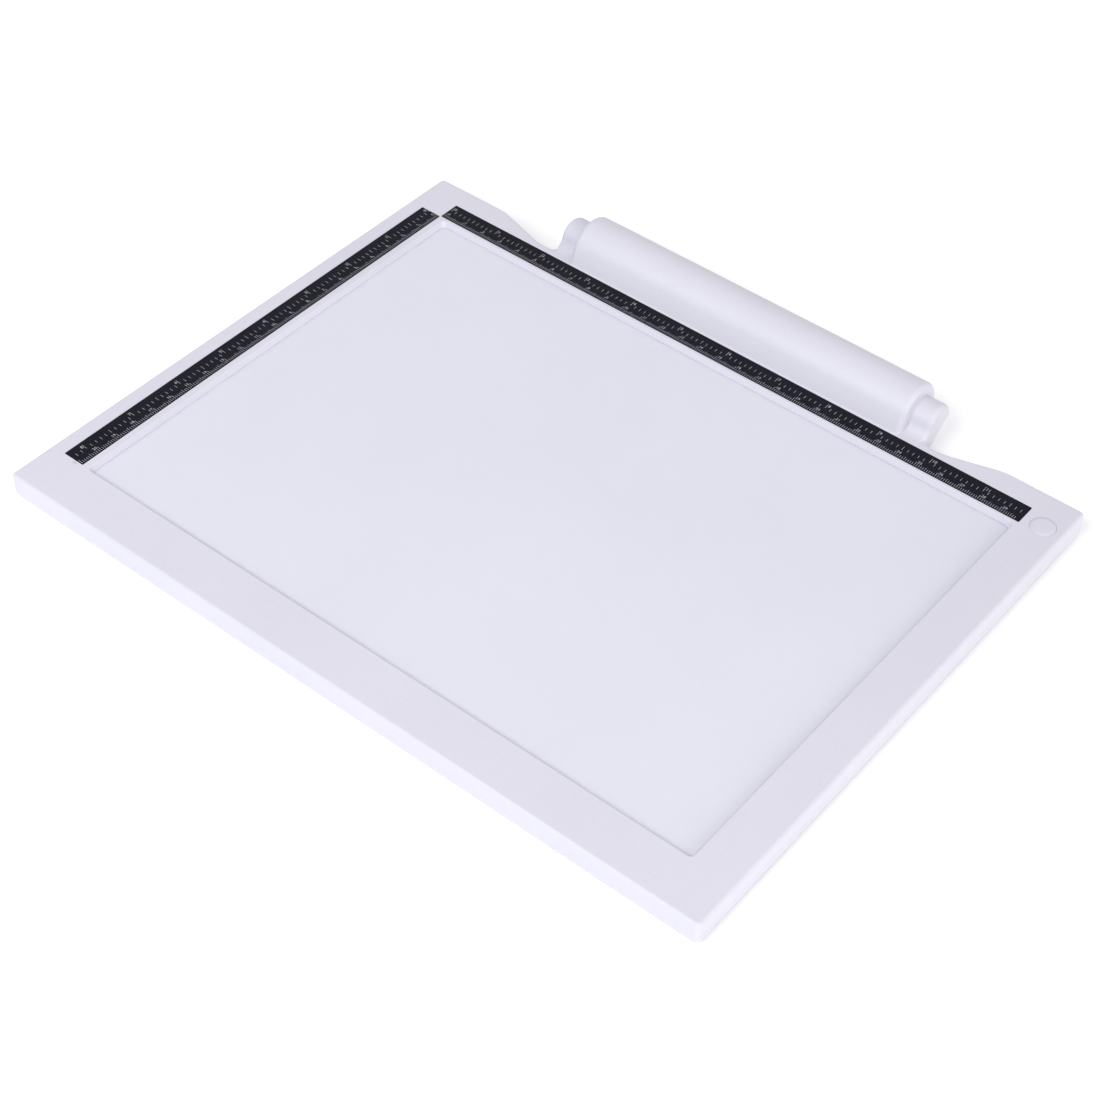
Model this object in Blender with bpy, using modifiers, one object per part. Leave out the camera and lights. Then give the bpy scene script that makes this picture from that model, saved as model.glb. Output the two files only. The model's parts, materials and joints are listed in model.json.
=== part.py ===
"""A4 light box: a thin lit drawing board with two rulers and a battery barrel along its back edge.

Sizes are in millimetres and are turned into metres where the meshes are made.
X runs along the long side, +Y is the back with the barrel, +Z is up, and Z = 0 is the table.
"""
import math

import bmesh
import bpy
from mathutils import Matrix, Vector

MM = 0.001
GAP = 0.3                 # clearance between separate pieces
SEAM = 0.05               # half of the visible seam between two mouldings
STRIP_GAP = 0.1           # clearance round a glued ruler strip

# Board
BOARD_HALF_X = 168.15
BOARD_FRONT_Y = -136.2
BOARD_BACK_Y = 118.5
BOARD_BOTTOM = 1.5
BOARD_TOP = 12.5
PARTING_Z = 5.2
WALL = 2.0
FLOOR = 1.6
TOP_PLATE = 2.2
CORNER_RADIUS = 2.5
TOP_EDGE_RADIUS = 1.0
BOTTOM_EDGE_RADIUS = 2.2
NOTCH_BACK_Y = 111.1
NOTCH_OUTER_X = 131.0
NOTCH_INNER_X = 106.0
NOTCH_RADIUS = 25.0

# Window and the sheets under it
WINDOW_LOW = (-147.55, -115.1)
WINDOW_HIGH = (149.25, 95.3)
WINDOW_TAPER = 1.0        # how far the window narrows from the top face down to the panel
WINDOW_RADIUS = 2.0
BORDER = 3.2              # how far the panel reaches under the frame
PANEL_THICKNESS = 1.8
CARRIER_WALL = 2.2
SHEET_GAP = 0.5
REFLECTOR_Z = (3.4, 3.7)
GUIDE_Z = (4.0, 6.6)
DIFFUSER_Z = (6.8, 7.0)
CARRIER_Z = (3.4, 7.7)
LED_ROOM = 2.2            # between the light guide and the carrier, for the LEDs
LED_COUNT = 28
LED_HALF = 1.4
LED_Z = (4.5, 6.2)
LED_BOARD = 0.6           # thickness of the strip that carries the LEDs
LED_BOARD_Z = (4.1, 6.6)
LED_MARGIN = 2.0
LED_FIRST = 10.0          # from the end of the sheets to the first LED
LED_LEAD_X = 130.0
LED_LEAD_Z = 7.6

# Rulers
RULER_WIDTH = 10.2
RULER_THICKNESS = 0.4
RULER_CORNER = (-150.65, 96.8)
RULER_GAP = 0.5
RULER_TOP_LENGTH = 300.5
RULER_LEFT_LENGTH = 211.0
RULER_RADIUS = 0.35

# Barrel along the back edge
BARREL_Y = 123.2
BARREL_Z = 14.5
BARREL_RADIUS = 13.0
BARREL_HALF_X = 86.5
BARREL_ROUNDING = 2.5
END_RADIUS = 8.2
END_HALF_X = 96.75
END_ROUNDING = 2.2
END_BORE = 3.2
BARREL_WALL = 1.8
PARTING_Y = 112.0         # in front of this the seam drops to PARTING_Z
FLANK_RADIUS = 3.0
END_FLANK_RADIUS = 5.0
UNDERCUT_FOOT = (116.0, BOARD_BOTTOM)     # (Y, Z) of the slope under each end
UNDERCUT_HEAD = (130.4, 14.2)
UNDERCUT_OVERRUN = 0.25   # how far the cut goes on past both, as a share of its length

# Battery door in the rear of the barrel
DOOR_HALF_X = 77.6
DOOR_TOP_ANGLE = -16.0
DOOR_BOTTOM_ANGLE = -77.0
DOOR_WALL = 1.6
HINGE_ANGLE = -9.0
HINGE_OFFSET = 10.9
BEAD_RADIUS = 1.3
STUB_RADIUS = 0.7
STUB_LENGTH = 2.6
EAR_RADIUS = 1.6
EAR_LENGTH = 3.4
MOUTH_MARGIN = 1.3        # degrees of clearance below the door's lower edge
GRIP_ANGLE = 12.0         # from the door's lower edge up to the finger groove
GRIP_LENGTH = 18.0
GRIP_RADIUS = 1.4
GRIP_OFFSET = 0.6         # the groove's axis lies this far outside the barrel

# Cells and their tray
CELL_RADIUS = 7.2
CELL_LENGTH = 50.2
CELL_NUB = (2.7, 1.2)
TRAY_INNER = 7.6
TRAY_OUTER = 9.0
TRAY_HALF_X = 82.0
TRAY_END = 1.6
TRAY_MOUTH = 1.0          # the tray is open on the door's side of a plane this far from the axis
TRAY_LIP = 4.6            # and its ends are trimmed on a plane this far from the axis
CONTACT_THICKNESS = 0.4
CONTACT_HALF = 4.0
SPRING_TURNS = 4
SPRING_RADII = (2.4, 5.2)
SPRING_WIRE = 0.35
SPRING_ROOM = 0.9         # from the end of the last cell to the first turn

# Button, switch and board of electronics
BUTTON_CENTRE = (159.15, 100.8)
BUTTON_RADIUS = 5.25
BUTTON_HOLE_RADIUS = 5.4
FLANGE_RADIUS = 6.2
BUTTON_PROUD = 0.35
PCB_LOW = (155.6, 78.0, 3.6)
PCB_HIGH = (165.4, 114.4, 4.8)
SWITCH_HALF = 3.0
SWITCH_Z = (5.0, 7.7)
PLUNGER_Z = (8.4, 9.0)
FLANGE_Z = (9.2, 9.9)
PLUNGER_RADIUS = 1.7
SOCKET_LOW = (154.9, 107.7, 5.1)
SOCKET_HIGH = (163.4, 116.2, 10.0)
SOCKET_BORE = 1.9
SOCKET_PIN = 0.6
SOCKET_REAR = 1.5         # wall behind the bore
SOCKET_HOLE = 2.4
SOCKET_Z = 7.7
CHIPS = [(160.5, 92.0, 2.5, 1.4), (160.5, 85.0, 2.0, 2.2)]     # x, y, half width and height

# Passage for the leads between the barrel and the board
PASSAGE_X = 83.4
PASSAGE_Z = 9.0
PASSAGE_RADIUS = 1.8
LEAD_RADIUS = 0.45

# Fasteners and feet
SCREW_SPOTS = [(-161.5, -129.5), (161.5, -129.5), (0.0, -127.6), (-161.5, -20.0),
               (161.5, -20.0), (-161.5, 111.5), (-122.0, 107.6), (122.0, 107.6)]
BOSS_RADIUS = 3.0
BOSS_CLEARANCE = 0.25
PILOT_SLACK = 0.25
PILOT_DEPTH = 0.8         # beyond the tip of the screw
SCREW_HEAD_RADIUS = 2.2
SCREW_HEAD_HEIGHT = 0.8
SCREW_HEAD_SINK = 0.1
SCREW_SHANK_RADIUS = 1.1
SCREW_TOP = 8.6
COUNTERBORE = 1.0
FOOT_SPOTS = [(-150.0, -122.0), (150.0, -122.0), (-143.0, 104.0), (143.0, 104.0)]
FOOT_RADIUS = 6.0

FAR = 200.0               # beyond every side of the object
BARREL_STEPS = 36
STAND_ALONG_X = Matrix(((0, 0, 1, 0), (1, 0, 0, 0), (0, 1, 0, 0), (0, 0, 0, 1)))

WHITE_ABS = ("white_abs", (0.80, 0.80, 0.87), 0.42, 0.0)
MILKY_ACRYLIC = ("milky_acrylic", (0.82, 0.84, 0.90), 0.3, 0.0)
BLACK_FILM = ("black_film", (0.012, 0.012, 0.02), 0.4, 0.0)
CLEAR_ACRYLIC = ("clear_acrylic", (0.85, 0.88, 0.9), 0.1, 0.0)
WHITE_FILM = ("white_film", (0.9, 0.9, 0.9), 0.6, 0.0)
GREEN_BOARD = ("circuit_board", (0.02, 0.2, 0.07), 0.5, 0.0)
BLACK_PLASTIC = ("black_plastic", (0.02, 0.02, 0.02), 0.5, 0.0)
STEEL = ("plated_steel", (0.6, 0.6, 0.58), 0.3, 1.0)
RUBBER = ("grey_rubber", (0.25, 0.25, 0.26), 0.85, 0.0)
CELL_WRAP = ("cell_wrap", (0.1, 0.18, 0.12), 0.35, 0.2)
RED_WIRE = ("red_wire", (0.5, 0.02, 0.02), 0.5, 0.0)
BLACK_WIRE = ("black_wire", (0.02, 0.02, 0.02), 0.5, 0.0)


def clear_scene():
    for old in list(bpy.data.objects):
        bpy.data.objects.remove(old, do_unlink=True)


def make_collection(name):
    collection = bpy.data.collections.new(name)
    bpy.context.scene.collection.children.link(collection)
    return collection


def material(spec):
    name, colour, roughness, metallic = spec
    made = bpy.data.materials.get(name)
    if made:
        return made
    made = bpy.data.materials.new(name)
    made.use_nodes = True
    shader = made.node_tree.nodes["Principled BSDF"]
    shader.inputs["Base Color"].default_value = (*colour, 1.0)
    shader.inputs["Roughness"].default_value = roughness
    shader.inputs["Metallic"].default_value = metallic
    return made


def finish_mesh(name, bm, spec, collection, origin=(0, 0, 0)):
    """Turn a bmesh in millimetres into an object in metres whose origin is at the given point."""
    bmesh.ops.translate(bm, verts=bm.verts, vec=-Vector(origin))
    bmesh.ops.scale(bm, verts=bm.verts, vec=(MM, MM, MM))
    bmesh.ops.recalc_face_normals(bm, faces=bm.faces)
    mesh = bpy.data.meshes.new(name)
    bm.to_mesh(mesh)
    bm.free()
    return place_mesh(name, mesh, spec, collection, origin)


def place_mesh(name, mesh, spec, collection, origin=(0, 0, 0)):
    made = bpy.data.objects.new(name, mesh)
    made.location = Vector(origin) * MM
    collection.objects.link(made)
    if spec:
        mesh.materials.append(material(spec))
    else:
        made.hide_render = True
        made.display_type = "WIRE"
    return made


def rounded(corners):
    """Outline through (x, y, radius, segments) corners, each rounded by an arc."""
    points = []
    for index, (x, y, radius, segments) in enumerate(corners):
        here = Vector((x, y))
        back = (Vector(corners[index - 1][:2]) - here).normalized()
        ahead = (Vector(corners[(index + 1) % len(corners)][:2]) - here).normalized()
        if radius <= 0:
            points.append(here)
            continue
        half = back.angle(ahead) / 2
        start = here + back * radius / math.tan(half)
        centre = here + (back + ahead).normalized() * radius / math.sin(half)
        spoke = start - centre
        sweep = math.pi - 2 * half
        turn = 1 if back.x * ahead.y - back.y * ahead.x < 0 else -1
        for step in range(segments + 1):
            angle = turn * sweep * step / segments
            points.append(centre + Matrix.Rotation(angle, 2) @ spoke)
    return points


def prism(outline, low, high):
    """A bmesh prism over an outline between two heights."""
    bm = bmesh.new()
    base = [bm.verts.new((point[0], point[1], low)) for point in outline]
    floor = bm.faces.new(base)
    top = bmesh.ops.extrude_face_region(bm, geom=[floor])["geom"]
    risen = [item for item in top if isinstance(item, bmesh.types.BMVert)]
    bmesh.ops.translate(bm, verts=risen, vec=(0, 0, high - low))
    return bm


def taper(outline_low, outline_high, low, high):
    """A prism whose top outline differs from its bottom outline, point for point."""
    bm = prism(outline_low, low, high)
    for vert in bm.verts:
        if abs(vert.co.z - high) < 1e-4:
            index = min(range(len(outline_low)), key=lambda item: (outline_low[item] - vert.co.xy).length)
            vert.co.xy = outline_high[index]
    return bm


def bevel_loop(bm, height, width, segments):
    """Round the edges that lie at one height."""
    edges = [edge for edge in bm.edges if all(abs(vert.co.z - height) < 1e-4 for vert in edge.verts)]
    bmesh.ops.bevel(bm, geom=edges, offset=width, segments=segments, profile=0.5,
                    affect="EDGES", clamp_overlap=False)


def box_outline(low, high, radius=0.0, segments=3):
    corners = [(low[0], low[1]), (high[0], low[1]), (high[0], high[1]), (low[0], high[1])]
    return rounded([(x, y, radius, segments) for x, y in corners])


def box(name, low, high, spec, collection):
    bm = bmesh.new()
    bmesh.ops.create_cube(bm, size=1.0)
    size = Vector(high) - Vector(low)
    bmesh.ops.scale(bm, verts=bm.verts, vec=size)
    bmesh.ops.translate(bm, verts=bm.verts, vec=(Vector(low) + Vector(high)) / 2)
    return finish_mesh(name, bm, spec, collection)


def rod(name, start, length, radius, axis, spec, collection, sides=16, origin=None):
    """A cylinder from start along the X, Y or Z axis."""
    bm = bmesh.new()
    bmesh.ops.create_cone(bm, cap_ends=True, segments=sides, radius1=radius, radius2=radius, depth=length)
    turn = {"X": Matrix.Rotation(math.pi / 2, 4, "Y"), "Y": Matrix.Rotation(-math.pi / 2, 4, "X"),
            "Z": Matrix.Identity(4)}[axis]
    bmesh.ops.transform(bm, matrix=turn, verts=bm.verts)
    along = Vector([1.0 if letter == axis else 0.0 for letter in "XYZ"])
    bmesh.ops.translate(bm, verts=bm.verts, vec=Vector(start) + along * length / 2)
    return finish_mesh(name, bm, spec, collection, origin or (0, 0, 0))


def turned(name, profile, steps, place, spec, collection, lying=False):
    """A profile of (radius, height) points, top to bottom on its outer side, spun round Z."""
    bm = bmesh.new()
    verts = [bm.verts.new((radius * MM, 0, height * MM)) for radius, height in profile]
    for first, second in zip(verts, verts[1:]):
        bm.edges.new((first, second))
    mesh = bpy.data.meshes.new(name)
    bm.to_mesh(mesh)
    bm.free()
    made = place_mesh(name, mesh, spec, collection, place)
    if lying:
        made.rotation_euler = (0, math.pi / 2, 0)
    screw = made.modifiers.new("Turn", "SCREW")
    screw.axis = "Z"
    screw.steps = steps
    screw.render_steps = steps
    screw.use_merge_vertices = True
    screw.merge_threshold = 0.00001
    screw.use_smooth_shade = True
    return made


def boolean(target, operand, operation):
    step = target.modifiers.new(operand.name, "BOOLEAN")
    step.operation = operation
    step.solver = "EXACT"
    step.object = operand


def cut(target, *operands):
    for operand in operands:
        boolean(target, operand, "DIFFERENCE")


def join(target, *operands):
    for operand in operands:
        boolean(target, operand, "UNION")


def wire(name, points, radius, spec, collection):
    """A round wire through points, as a POLY curve with filled caps."""
    curve = bpy.data.curves.new(name, "CURVE")
    curve.dimensions = "3D"
    curve.bevel_depth = radius * MM
    curve.bevel_resolution = 2
    curve.use_fill_caps = True
    spline = curve.splines.new("POLY")
    spline.points.add(len(points) - 1)
    for target, point in zip(spline.points, points):
        target.co = (*(Vector(point) * MM), 1.0)
    made = bpy.data.objects.new(name, curve)
    collection.objects.link(made)
    curve.materials.append(material(spec))
    return made


def smooth_route(knots, count):
    """Points along a Catmull-Rom curve through the knots."""
    padded = [knots[0]] + list(knots) + [knots[-1]]
    points = []
    spans = len(knots) - 1
    for index in range(count):
        place = index / (count - 1) * spans
        span = min(int(place), spans - 1)
        t = place - span
        a, b, c, d = [Vector(padded[span + offset]) for offset in range(4)]
        points.append(0.5 * (2 * b + (c - a) * t + (2 * a - 5 * b + 4 * c - d) * t ** 2
                             + (3 * b - a - 3 * c + d) * t ** 3))
    return points


def arc(centre, radius, start, end, segments):
    """Points on an arc in a plane, with angles in degrees."""
    points = []
    for step in range(segments + 1):
        angle = math.radians(start + (end - start) * step / segments)
        points.append((centre[0] + radius * math.cos(angle), centre[1] + radius * math.sin(angle)))
    return points


def board_outline(inset):
    """The board seen from above: a rectangle whose back edge steps in behind the barrel."""
    side = BOARD_HALF_X - inset
    front = BOARD_FRONT_Y + inset
    back = BOARD_BACK_Y - inset
    notch = NOTCH_BACK_Y - inset
    radius = max(CORNER_RADIUS - inset, 1.0)
    half = [(side, front, radius, 5), (side, back, radius, 5),
            (NOTCH_OUTER_X, back, NOTCH_RADIUS - inset, 4), (NOTCH_INNER_X, notch, NOTCH_RADIUS + inset, 4)]
    mirrored = [(-x, y, bend, segments) for x, y, bend, segments in reversed(half)]
    return rounded(half + mirrored)


def barrel_profile(shrink, small):
    """Half outline of the barrel round its own axis, from its far end to its near end."""
    big = BARREL_RADIUS - shrink
    big_end = BARREL_HALF_X - shrink
    small_end = END_HALF_X - shrink
    big_round = max(BARREL_ROUNDING - shrink, 0.3)
    small_round = max(END_ROUNDING - shrink, 0.3)
    half = [(0.0, small_end)]
    half += [(small - small_round + x, small_end - small_round + y)
             for x, y in arc((0, 0), small_round, 90, 0, 3)]
    half.append((small, big_end))
    half += [(big - big_round + x, big_end - big_round + y)
             for x, y in arc((0, 0), big_round, 90, 0, 3)]
    return half + [(radius, -height) for radius, height in reversed(half)]


def slab_along_x(name, outline, low, high, collection, spec=None, origin=(0, 0, 0)):
    """A solid with a (Y, Z) outline, running along X."""
    bm = prism(outline, low, high)
    bmesh.ops.transform(bm, matrix=STAND_ALONG_X, verts=bm.verts)
    return finish_mesh(name, bm, spec, collection, origin)


def flank(radius_out, fillet, front):
    """The (Y, Z) outline that blends a round of the barrel into the board's top."""
    reach = math.sqrt((radius_out + fillet) ** 2 - (BOARD_TOP + fillet - BARREL_Z) ** 2)
    centre = (BARREL_Y - reach, BOARD_TOP + fillet)
    touch = math.degrees(math.atan2(BARREL_Z - centre[1], reach))
    curve = arc(centre, fillet, -90, touch, 5)
    return [(front, BOARD_BOTTOM), (front, BOARD_TOP - 0.01)] + curve + [(BARREL_Y, BARREL_Z)]


def add_barrel(target, name, guides):
    """Join the barrel and the webs that hold it to a moulding."""
    axis = (0, BARREL_Y, BARREL_Z)
    outer = turned(name + "_barrel", barrel_profile(0.0, END_RADIUS), BARREL_STEPS, axis, None, guides, True)
    front = NOTCH_BACK_Y - WALL
    big = flank(BARREL_RADIUS, FLANK_RADIUS, front - 1) + [(BARREL_Y, BOARD_BOTTOM)]
    half = BARREL_HALF_X - BARREL_ROUNDING
    web = slab_along_x(name + "_web", big, -half, half, guides)
    small = flank(END_RADIUS, END_FLANK_RADIUS, front) + [(BARREL_Y, BOARD_BOTTOM)]
    half = END_HALF_X - END_ROUNDING
    end_web = slab_along_x(name + "_end_web", small, -half, half, guides)
    join(target, outer, web, end_web)


def undercut(name, side, guides):
    """The wedge cut off the lower rear of one end of the barrel."""
    overrun = (Vector(UNDERCUT_HEAD) - Vector(UNDERCUT_FOOT)) * UNDERCUT_OVERRUN
    foot = Vector(UNDERCUT_FOOT) - overrun
    head = Vector(UNDERCUT_HEAD) + overrun
    rear = head.x + BARREL_RADIUS
    outline = [head, (rear, head.y), (rear, foot.y), foot]
    low, high = sorted((side * (BARREL_HALF_X + SEAM), side * (END_HALF_X + SEAM)))
    return slab_along_x(name, outline, low, high, guides)


def end_box(name, side, first, second, guides):
    """A box that takes one end of the barrel away between two heights."""
    near, far = sorted((side * (BARREL_HALF_X + SEAM / 2), side * (END_HALF_X + 2)))
    low, high = sorted((first, second))
    return box(name, (near, PARTING_Y, low), (far, FAR, high), None, guides)


def make_top_frame(parts, guides):
    bm = prism(board_outline(0.0), PARTING_Z + SEAM, BOARD_TOP)
    bevel_loop(bm, BOARD_TOP, TOP_EDGE_RADIUS, 3)
    frame = finish_mesh("top_frame", bm, WHITE_ABS, parts)
    add_barrel(frame, "frame", guides)
    below = BOARD_BOTTOM - 5
    step_x = BARREL_HALF_X + 2 * SEAM
    seam_box = box("frame_seam", (-step_x, PARTING_Y, below), (step_x, FAR, BARREL_Z + SEAM), None, guides)
    low_box = box("frame_under", (-FAR, -FAR, below), (FAR, PARTING_Y + 1, PARTING_Z + SEAM), None, guides)
    pocket = finish_mesh("frame_pocket", prism(board_outline(WALL), 0, BOARD_TOP - TOP_PLATE), None, guides)
    opening = window_outline(-WINDOW_TAPER)
    window = finish_mesh("frame_window", prism(opening, PARTING_Z, BOARD_TOP), None, guides)
    funnel = taper(opening, window_outline(WINDOW_TAPER), BOARD_TOP - TOP_PLATE, BOARD_TOP + TOP_PLATE)
    slope = finish_mesh("frame_slope", funnel, None, guides)
    axis = (0, BARREL_Y, BARREL_Z)
    cavity = barrel_profile(BARREL_WALL, END_BORE)
    hollow = turned("frame_hollow", cavity, BARREL_STEPS, axis, None, guides, True)
    cut(frame, seam_box, low_box, pocket, window, slope, hollow)
    for side in (-1, 1):
        cut(frame, end_box("frame_end_%d" % side, side, PARTING_Z + SEAM, below, guides))
        cut(frame, undercut("frame_undercut_%d" % side, side, guides))
    for index, (x, y) in enumerate(SCREW_SPOTS):
        bottom = BOARD_BOTTOM + FLOOR + BOSS_CLEARANCE
        height = BOARD_TOP - TOP_PLATE / 2 - bottom
        boss = rod("frame_boss_%d" % index, (x, y, bottom), height, BOSS_RADIUS, "Z", None, guides)
        bore = SCREW_SHANK_RADIUS + PILOT_SLACK
        depth = SCREW_TOP + PILOT_DEPTH
        pilot = rod("frame_pilot_%d" % index, (x, y, 0), depth, bore, "Z", None, guides, 12)
        join(frame, boss)
        cut(frame, pilot)
    cap_hole = rod("frame_cap_hole", (*BUTTON_CENTRE, 5), 12, BUTTON_HOLE_RADIUS, "Z", None, guides, 40)
    socket_x = (SOCKET_LOW[0] + SOCKET_HIGH[0]) / 2
    hole_start = (socket_x, NOTCH_BACK_Y, SOCKET_Z)
    socket_hole = rod("frame_socket_hole", hole_start, 14, SOCKET_HOLE, "Y", None, guides, 20)
    cut(frame, cap_hole, socket_hole, ruler_recess("top", guides), ruler_recess("left", guides))
    cut(frame, lead_passage("frame_passage", guides))
    return frame


def window_outline(outset):
    low = (WINDOW_LOW[0] - outset, WINDOW_LOW[1] - outset)
    high = (WINDOW_HIGH[0] + outset, WINDOW_HIGH[1] + outset)
    return box_outline(low, high, WINDOW_RADIUS)


def lead_passage(name, guides):
    return rod(name, (PASSAGE_X, 105, PASSAGE_Z), 10, PASSAGE_RADIUS, "Y", None, guides, 16)


def ruler_box(which):
    x, y = RULER_CORNER
    if which == "top":
        return (x + RULER_GAP, y), (x + RULER_GAP + RULER_TOP_LENGTH, y + RULER_WIDTH)
    return (x - RULER_WIDTH, y - RULER_GAP - RULER_LEFT_LENGTH), (x, y - RULER_GAP)


def ruler_recess(which, guides):
    low, high = ruler_box(which)
    low = (low[0] - STRIP_GAP, low[1] - STRIP_GAP)
    high = (high[0] + STRIP_GAP, high[1] + STRIP_GAP)
    bm = prism(box_outline(low, high, RULER_RADIUS + STRIP_GAP), BOARD_TOP - RULER_THICKNESS, BOARD_TOP + 1)
    return finish_mesh("recess_" + which, bm, None, guides)


def make_ruler(which, parts):
    low, high = ruler_box(which)
    bottom = BOARD_TOP - RULER_THICKNESS + STRIP_GAP
    bm = prism(box_outline(low, high, RULER_RADIUS), bottom, bottom + RULER_THICKNESS)
    return finish_mesh("ruler_" + which, bm, BLACK_FILM, parts)


def hinge_axis():
    angle = math.radians(HINGE_ANGLE)
    return BARREL_Y + HINGE_OFFSET * math.cos(angle), BARREL_Z + HINGE_OFFSET * math.sin(angle)


def make_back_cover(parts, guides):
    bm = prism(board_outline(0.0), BOARD_BOTTOM, PARTING_Z - SEAM)
    bevel_loop(bm, BOARD_BOTTOM, BOTTOM_EDGE_RADIUS, 4)
    cover = finish_mesh("back_cover", bm, WHITE_ABS, parts)
    add_barrel(cover, "cover", guides)
    above = BARREL_Z + 40
    seam_y = PARTING_Y + 2 * SEAM
    high_box = box("cover_above", (-FAR, seam_y - 1, BARREL_Z - SEAM), (FAR, FAR, above), None, guides)
    front_box = box("cover_front", (-FAR, -FAR, PARTING_Z - SEAM), (FAR, seam_y, above), None, guides)
    pocket = finish_mesh("cover_pocket", prism(board_outline(WALL), BOARD_BOTTOM + FLOOR, 40), None, guides)
    axis = (0, BARREL_Y, BARREL_Z)
    cavity = barrel_profile(BARREL_WALL, END_BORE)
    hollow = turned("cover_hollow", cavity, BARREL_STEPS, axis, None, guides, True)
    cut(cover, high_box, front_box, pocket, hollow)
    for side in (-1, 1):
        cut(cover, end_box("cover_end_%d" % side, side, PARTING_Z - SEAM, above, guides))
        cut(cover, undercut("cover_undercut_%d" % side, side, guides))
    bottom = math.radians(DOOR_BOTTOM_ANGLE - MOUTH_MARGIN)
    inner = BARREL_RADIUS / 2
    reach = BARREL_RADIUS * 1.5
    mouth = [(BARREL_Y + inner * math.cos(bottom), BARREL_Z + inner * math.sin(bottom)),
             (BARREL_Y + reach * math.cos(bottom), BARREL_Z + reach * math.sin(bottom)),
             (BARREL_Y + reach, BARREL_Z - reach), (BARREL_Y + reach, BARREL_Z + EAR_RADIUS),
             (BARREL_Y + inner, BARREL_Z + EAR_RADIUS)]
    half = DOOR_HALF_X + GAP
    cut(cover, slab_along_x("cover_mouth", mouth, -half, half, guides))
    y, z = hinge_axis()
    for side in (-1, 1):
        start = half if side > 0 else -half - EAR_LENGTH
        ear = rod("ear_%d" % side, (start, y, z), EAR_LENGTH, EAR_RADIUS, "X", None, guides, 20)
        hole_start = half - 1 if side > 0 else -half - STUB_LENGTH - 0.2
        hole = rod("ear_hole_%d" % side, (hole_start, y, z), STUB_LENGTH + 1.2, STUB_RADIUS + GAP, "X",
                   None, guides, 16)
        join(cover, ear)
        cut(cover, hole)
    for index, (x, y) in enumerate(SCREW_SPOTS):
        depth = BOARD_BOTTOM + COUNTERBORE
        head = rod("cover_head_%d" % index, (x, y, 0), depth, SCREW_HEAD_RADIUS + GAP, "Z", None, guides, 20)
        shank = rod("cover_shank_%d" % index, (x, y, 0), 8, SCREW_SHANK_RADIUS + GAP, "Z", None, guides, 12)
        cut(cover, head, shank)
    cut(cover, lead_passage("cover_passage", guides))
    return cover


def make_door(parts, guides):
    """The door is an arc of the barrel's wall with a round bead and two stub pins on its hinge axis."""
    y, z = hinge_axis()
    origin = (0, y, z)
    outer = arc((BARREL_Y, BARREL_Z), BARREL_RADIUS, DOOR_BOTTOM_ANGLE, DOOR_TOP_ANGLE, 10)
    inner = arc((BARREL_Y, BARREL_Z), BARREL_RADIUS - DOOR_WALL, DOOR_TOP_ANGLE + 2, DOOR_BOTTOM_ANGLE, 10)
    door = slab_along_x("battery_door", outer + inner, -DOOR_HALF_X, DOOR_HALF_X, parts, WHITE_ABS, origin)
    bead = rod("door_bead", (-DOOR_HALF_X, y, z), 2 * DOOR_HALF_X, BEAD_RADIUS, "X", None, guides, 20)
    pins = DOOR_HALF_X + STUB_LENGTH
    stub = rod("door_stub", (-pins, y, z), 2 * pins, STUB_RADIUS, "X", None, guides, 14)
    angle = math.radians(DOOR_BOTTOM_ANGLE + GRIP_ANGLE)
    reach = BARREL_RADIUS + GRIP_OFFSET
    start = (-GRIP_LENGTH / 2, BARREL_Y + reach * math.cos(angle), BARREL_Z + reach * math.sin(angle))
    grip = rod("door_grip", start, GRIP_LENGTH, GRIP_RADIUS, "X", None, guides)
    join(door, bead, stub)
    cut(door, grip)
    return door


def make_tray(parts, guides):
    tray = rod("battery_tray", (-TRAY_HALF_X, BARREL_Y, BARREL_Z), 2 * TRAY_HALF_X, TRAY_OUTER, "X",
               BLACK_PLASTIC, parts, 32)
    length = 2 * (TRAY_HALF_X - TRAY_END)
    bore = rod("tray_bore", (-length / 2, BARREL_Y, BARREL_Z), length, TRAY_INNER, "X", None, guides, 32)
    facing = math.radians((DOOR_TOP_ANGLE + DOOR_BOTTOM_ANGLE) / 2)
    normal = Vector((math.cos(facing), math.sin(facing)))
    side = Vector((-normal.y, normal.x))
    wide = side * BARREL_RADIUS
    deep = normal * BARREL_RADIUS
    axis = Vector((BARREL_Y, BARREL_Z))
    outline = [axis - wide, axis - wide + deep, axis + wide + deep, axis + wide]
    mouth_outline = [point + normal * TRAY_MOUTH for point in outline]
    lip_outline = [point + normal * TRAY_LIP for point in outline]
    mouth = slab_along_x("tray_mouth", mouth_outline, -length / 2, length / 2, guides)
    trim = slab_along_x("tray_trim", lip_outline, -END_HALF_X, END_HALF_X, guides)
    cut(tray, bore, mouth, trim)
    return tray


def make_cells(parts):
    nub_radius, nub_height = CELL_NUB
    half = CELL_LENGTH / 2
    body = half - nub_height
    profile = [(0, half), (nub_radius, half), (nub_radius, body), (CELL_RADIUS - 0.6, body),
               (CELL_RADIUS, body - 0.6), (CELL_RADIUS, 0.5 - half), (CELL_RADIUS - 0.5, -half), (0, -half)]
    first = -TRAY_HALF_X + TRAY_END + 1.0 + half
    for index in range(3):
        x = first + index * (CELL_LENGTH + GAP)
        cell = turned("cell_%d" % (index + 1), profile, 24, (x, BARREL_Y, BARREL_Z), CELL_WRAP, parts)
        cell.rotation_euler = (0, -math.pi / 2, 0)
    return first + 2.5 * CELL_LENGTH + 2 * GAP


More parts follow.
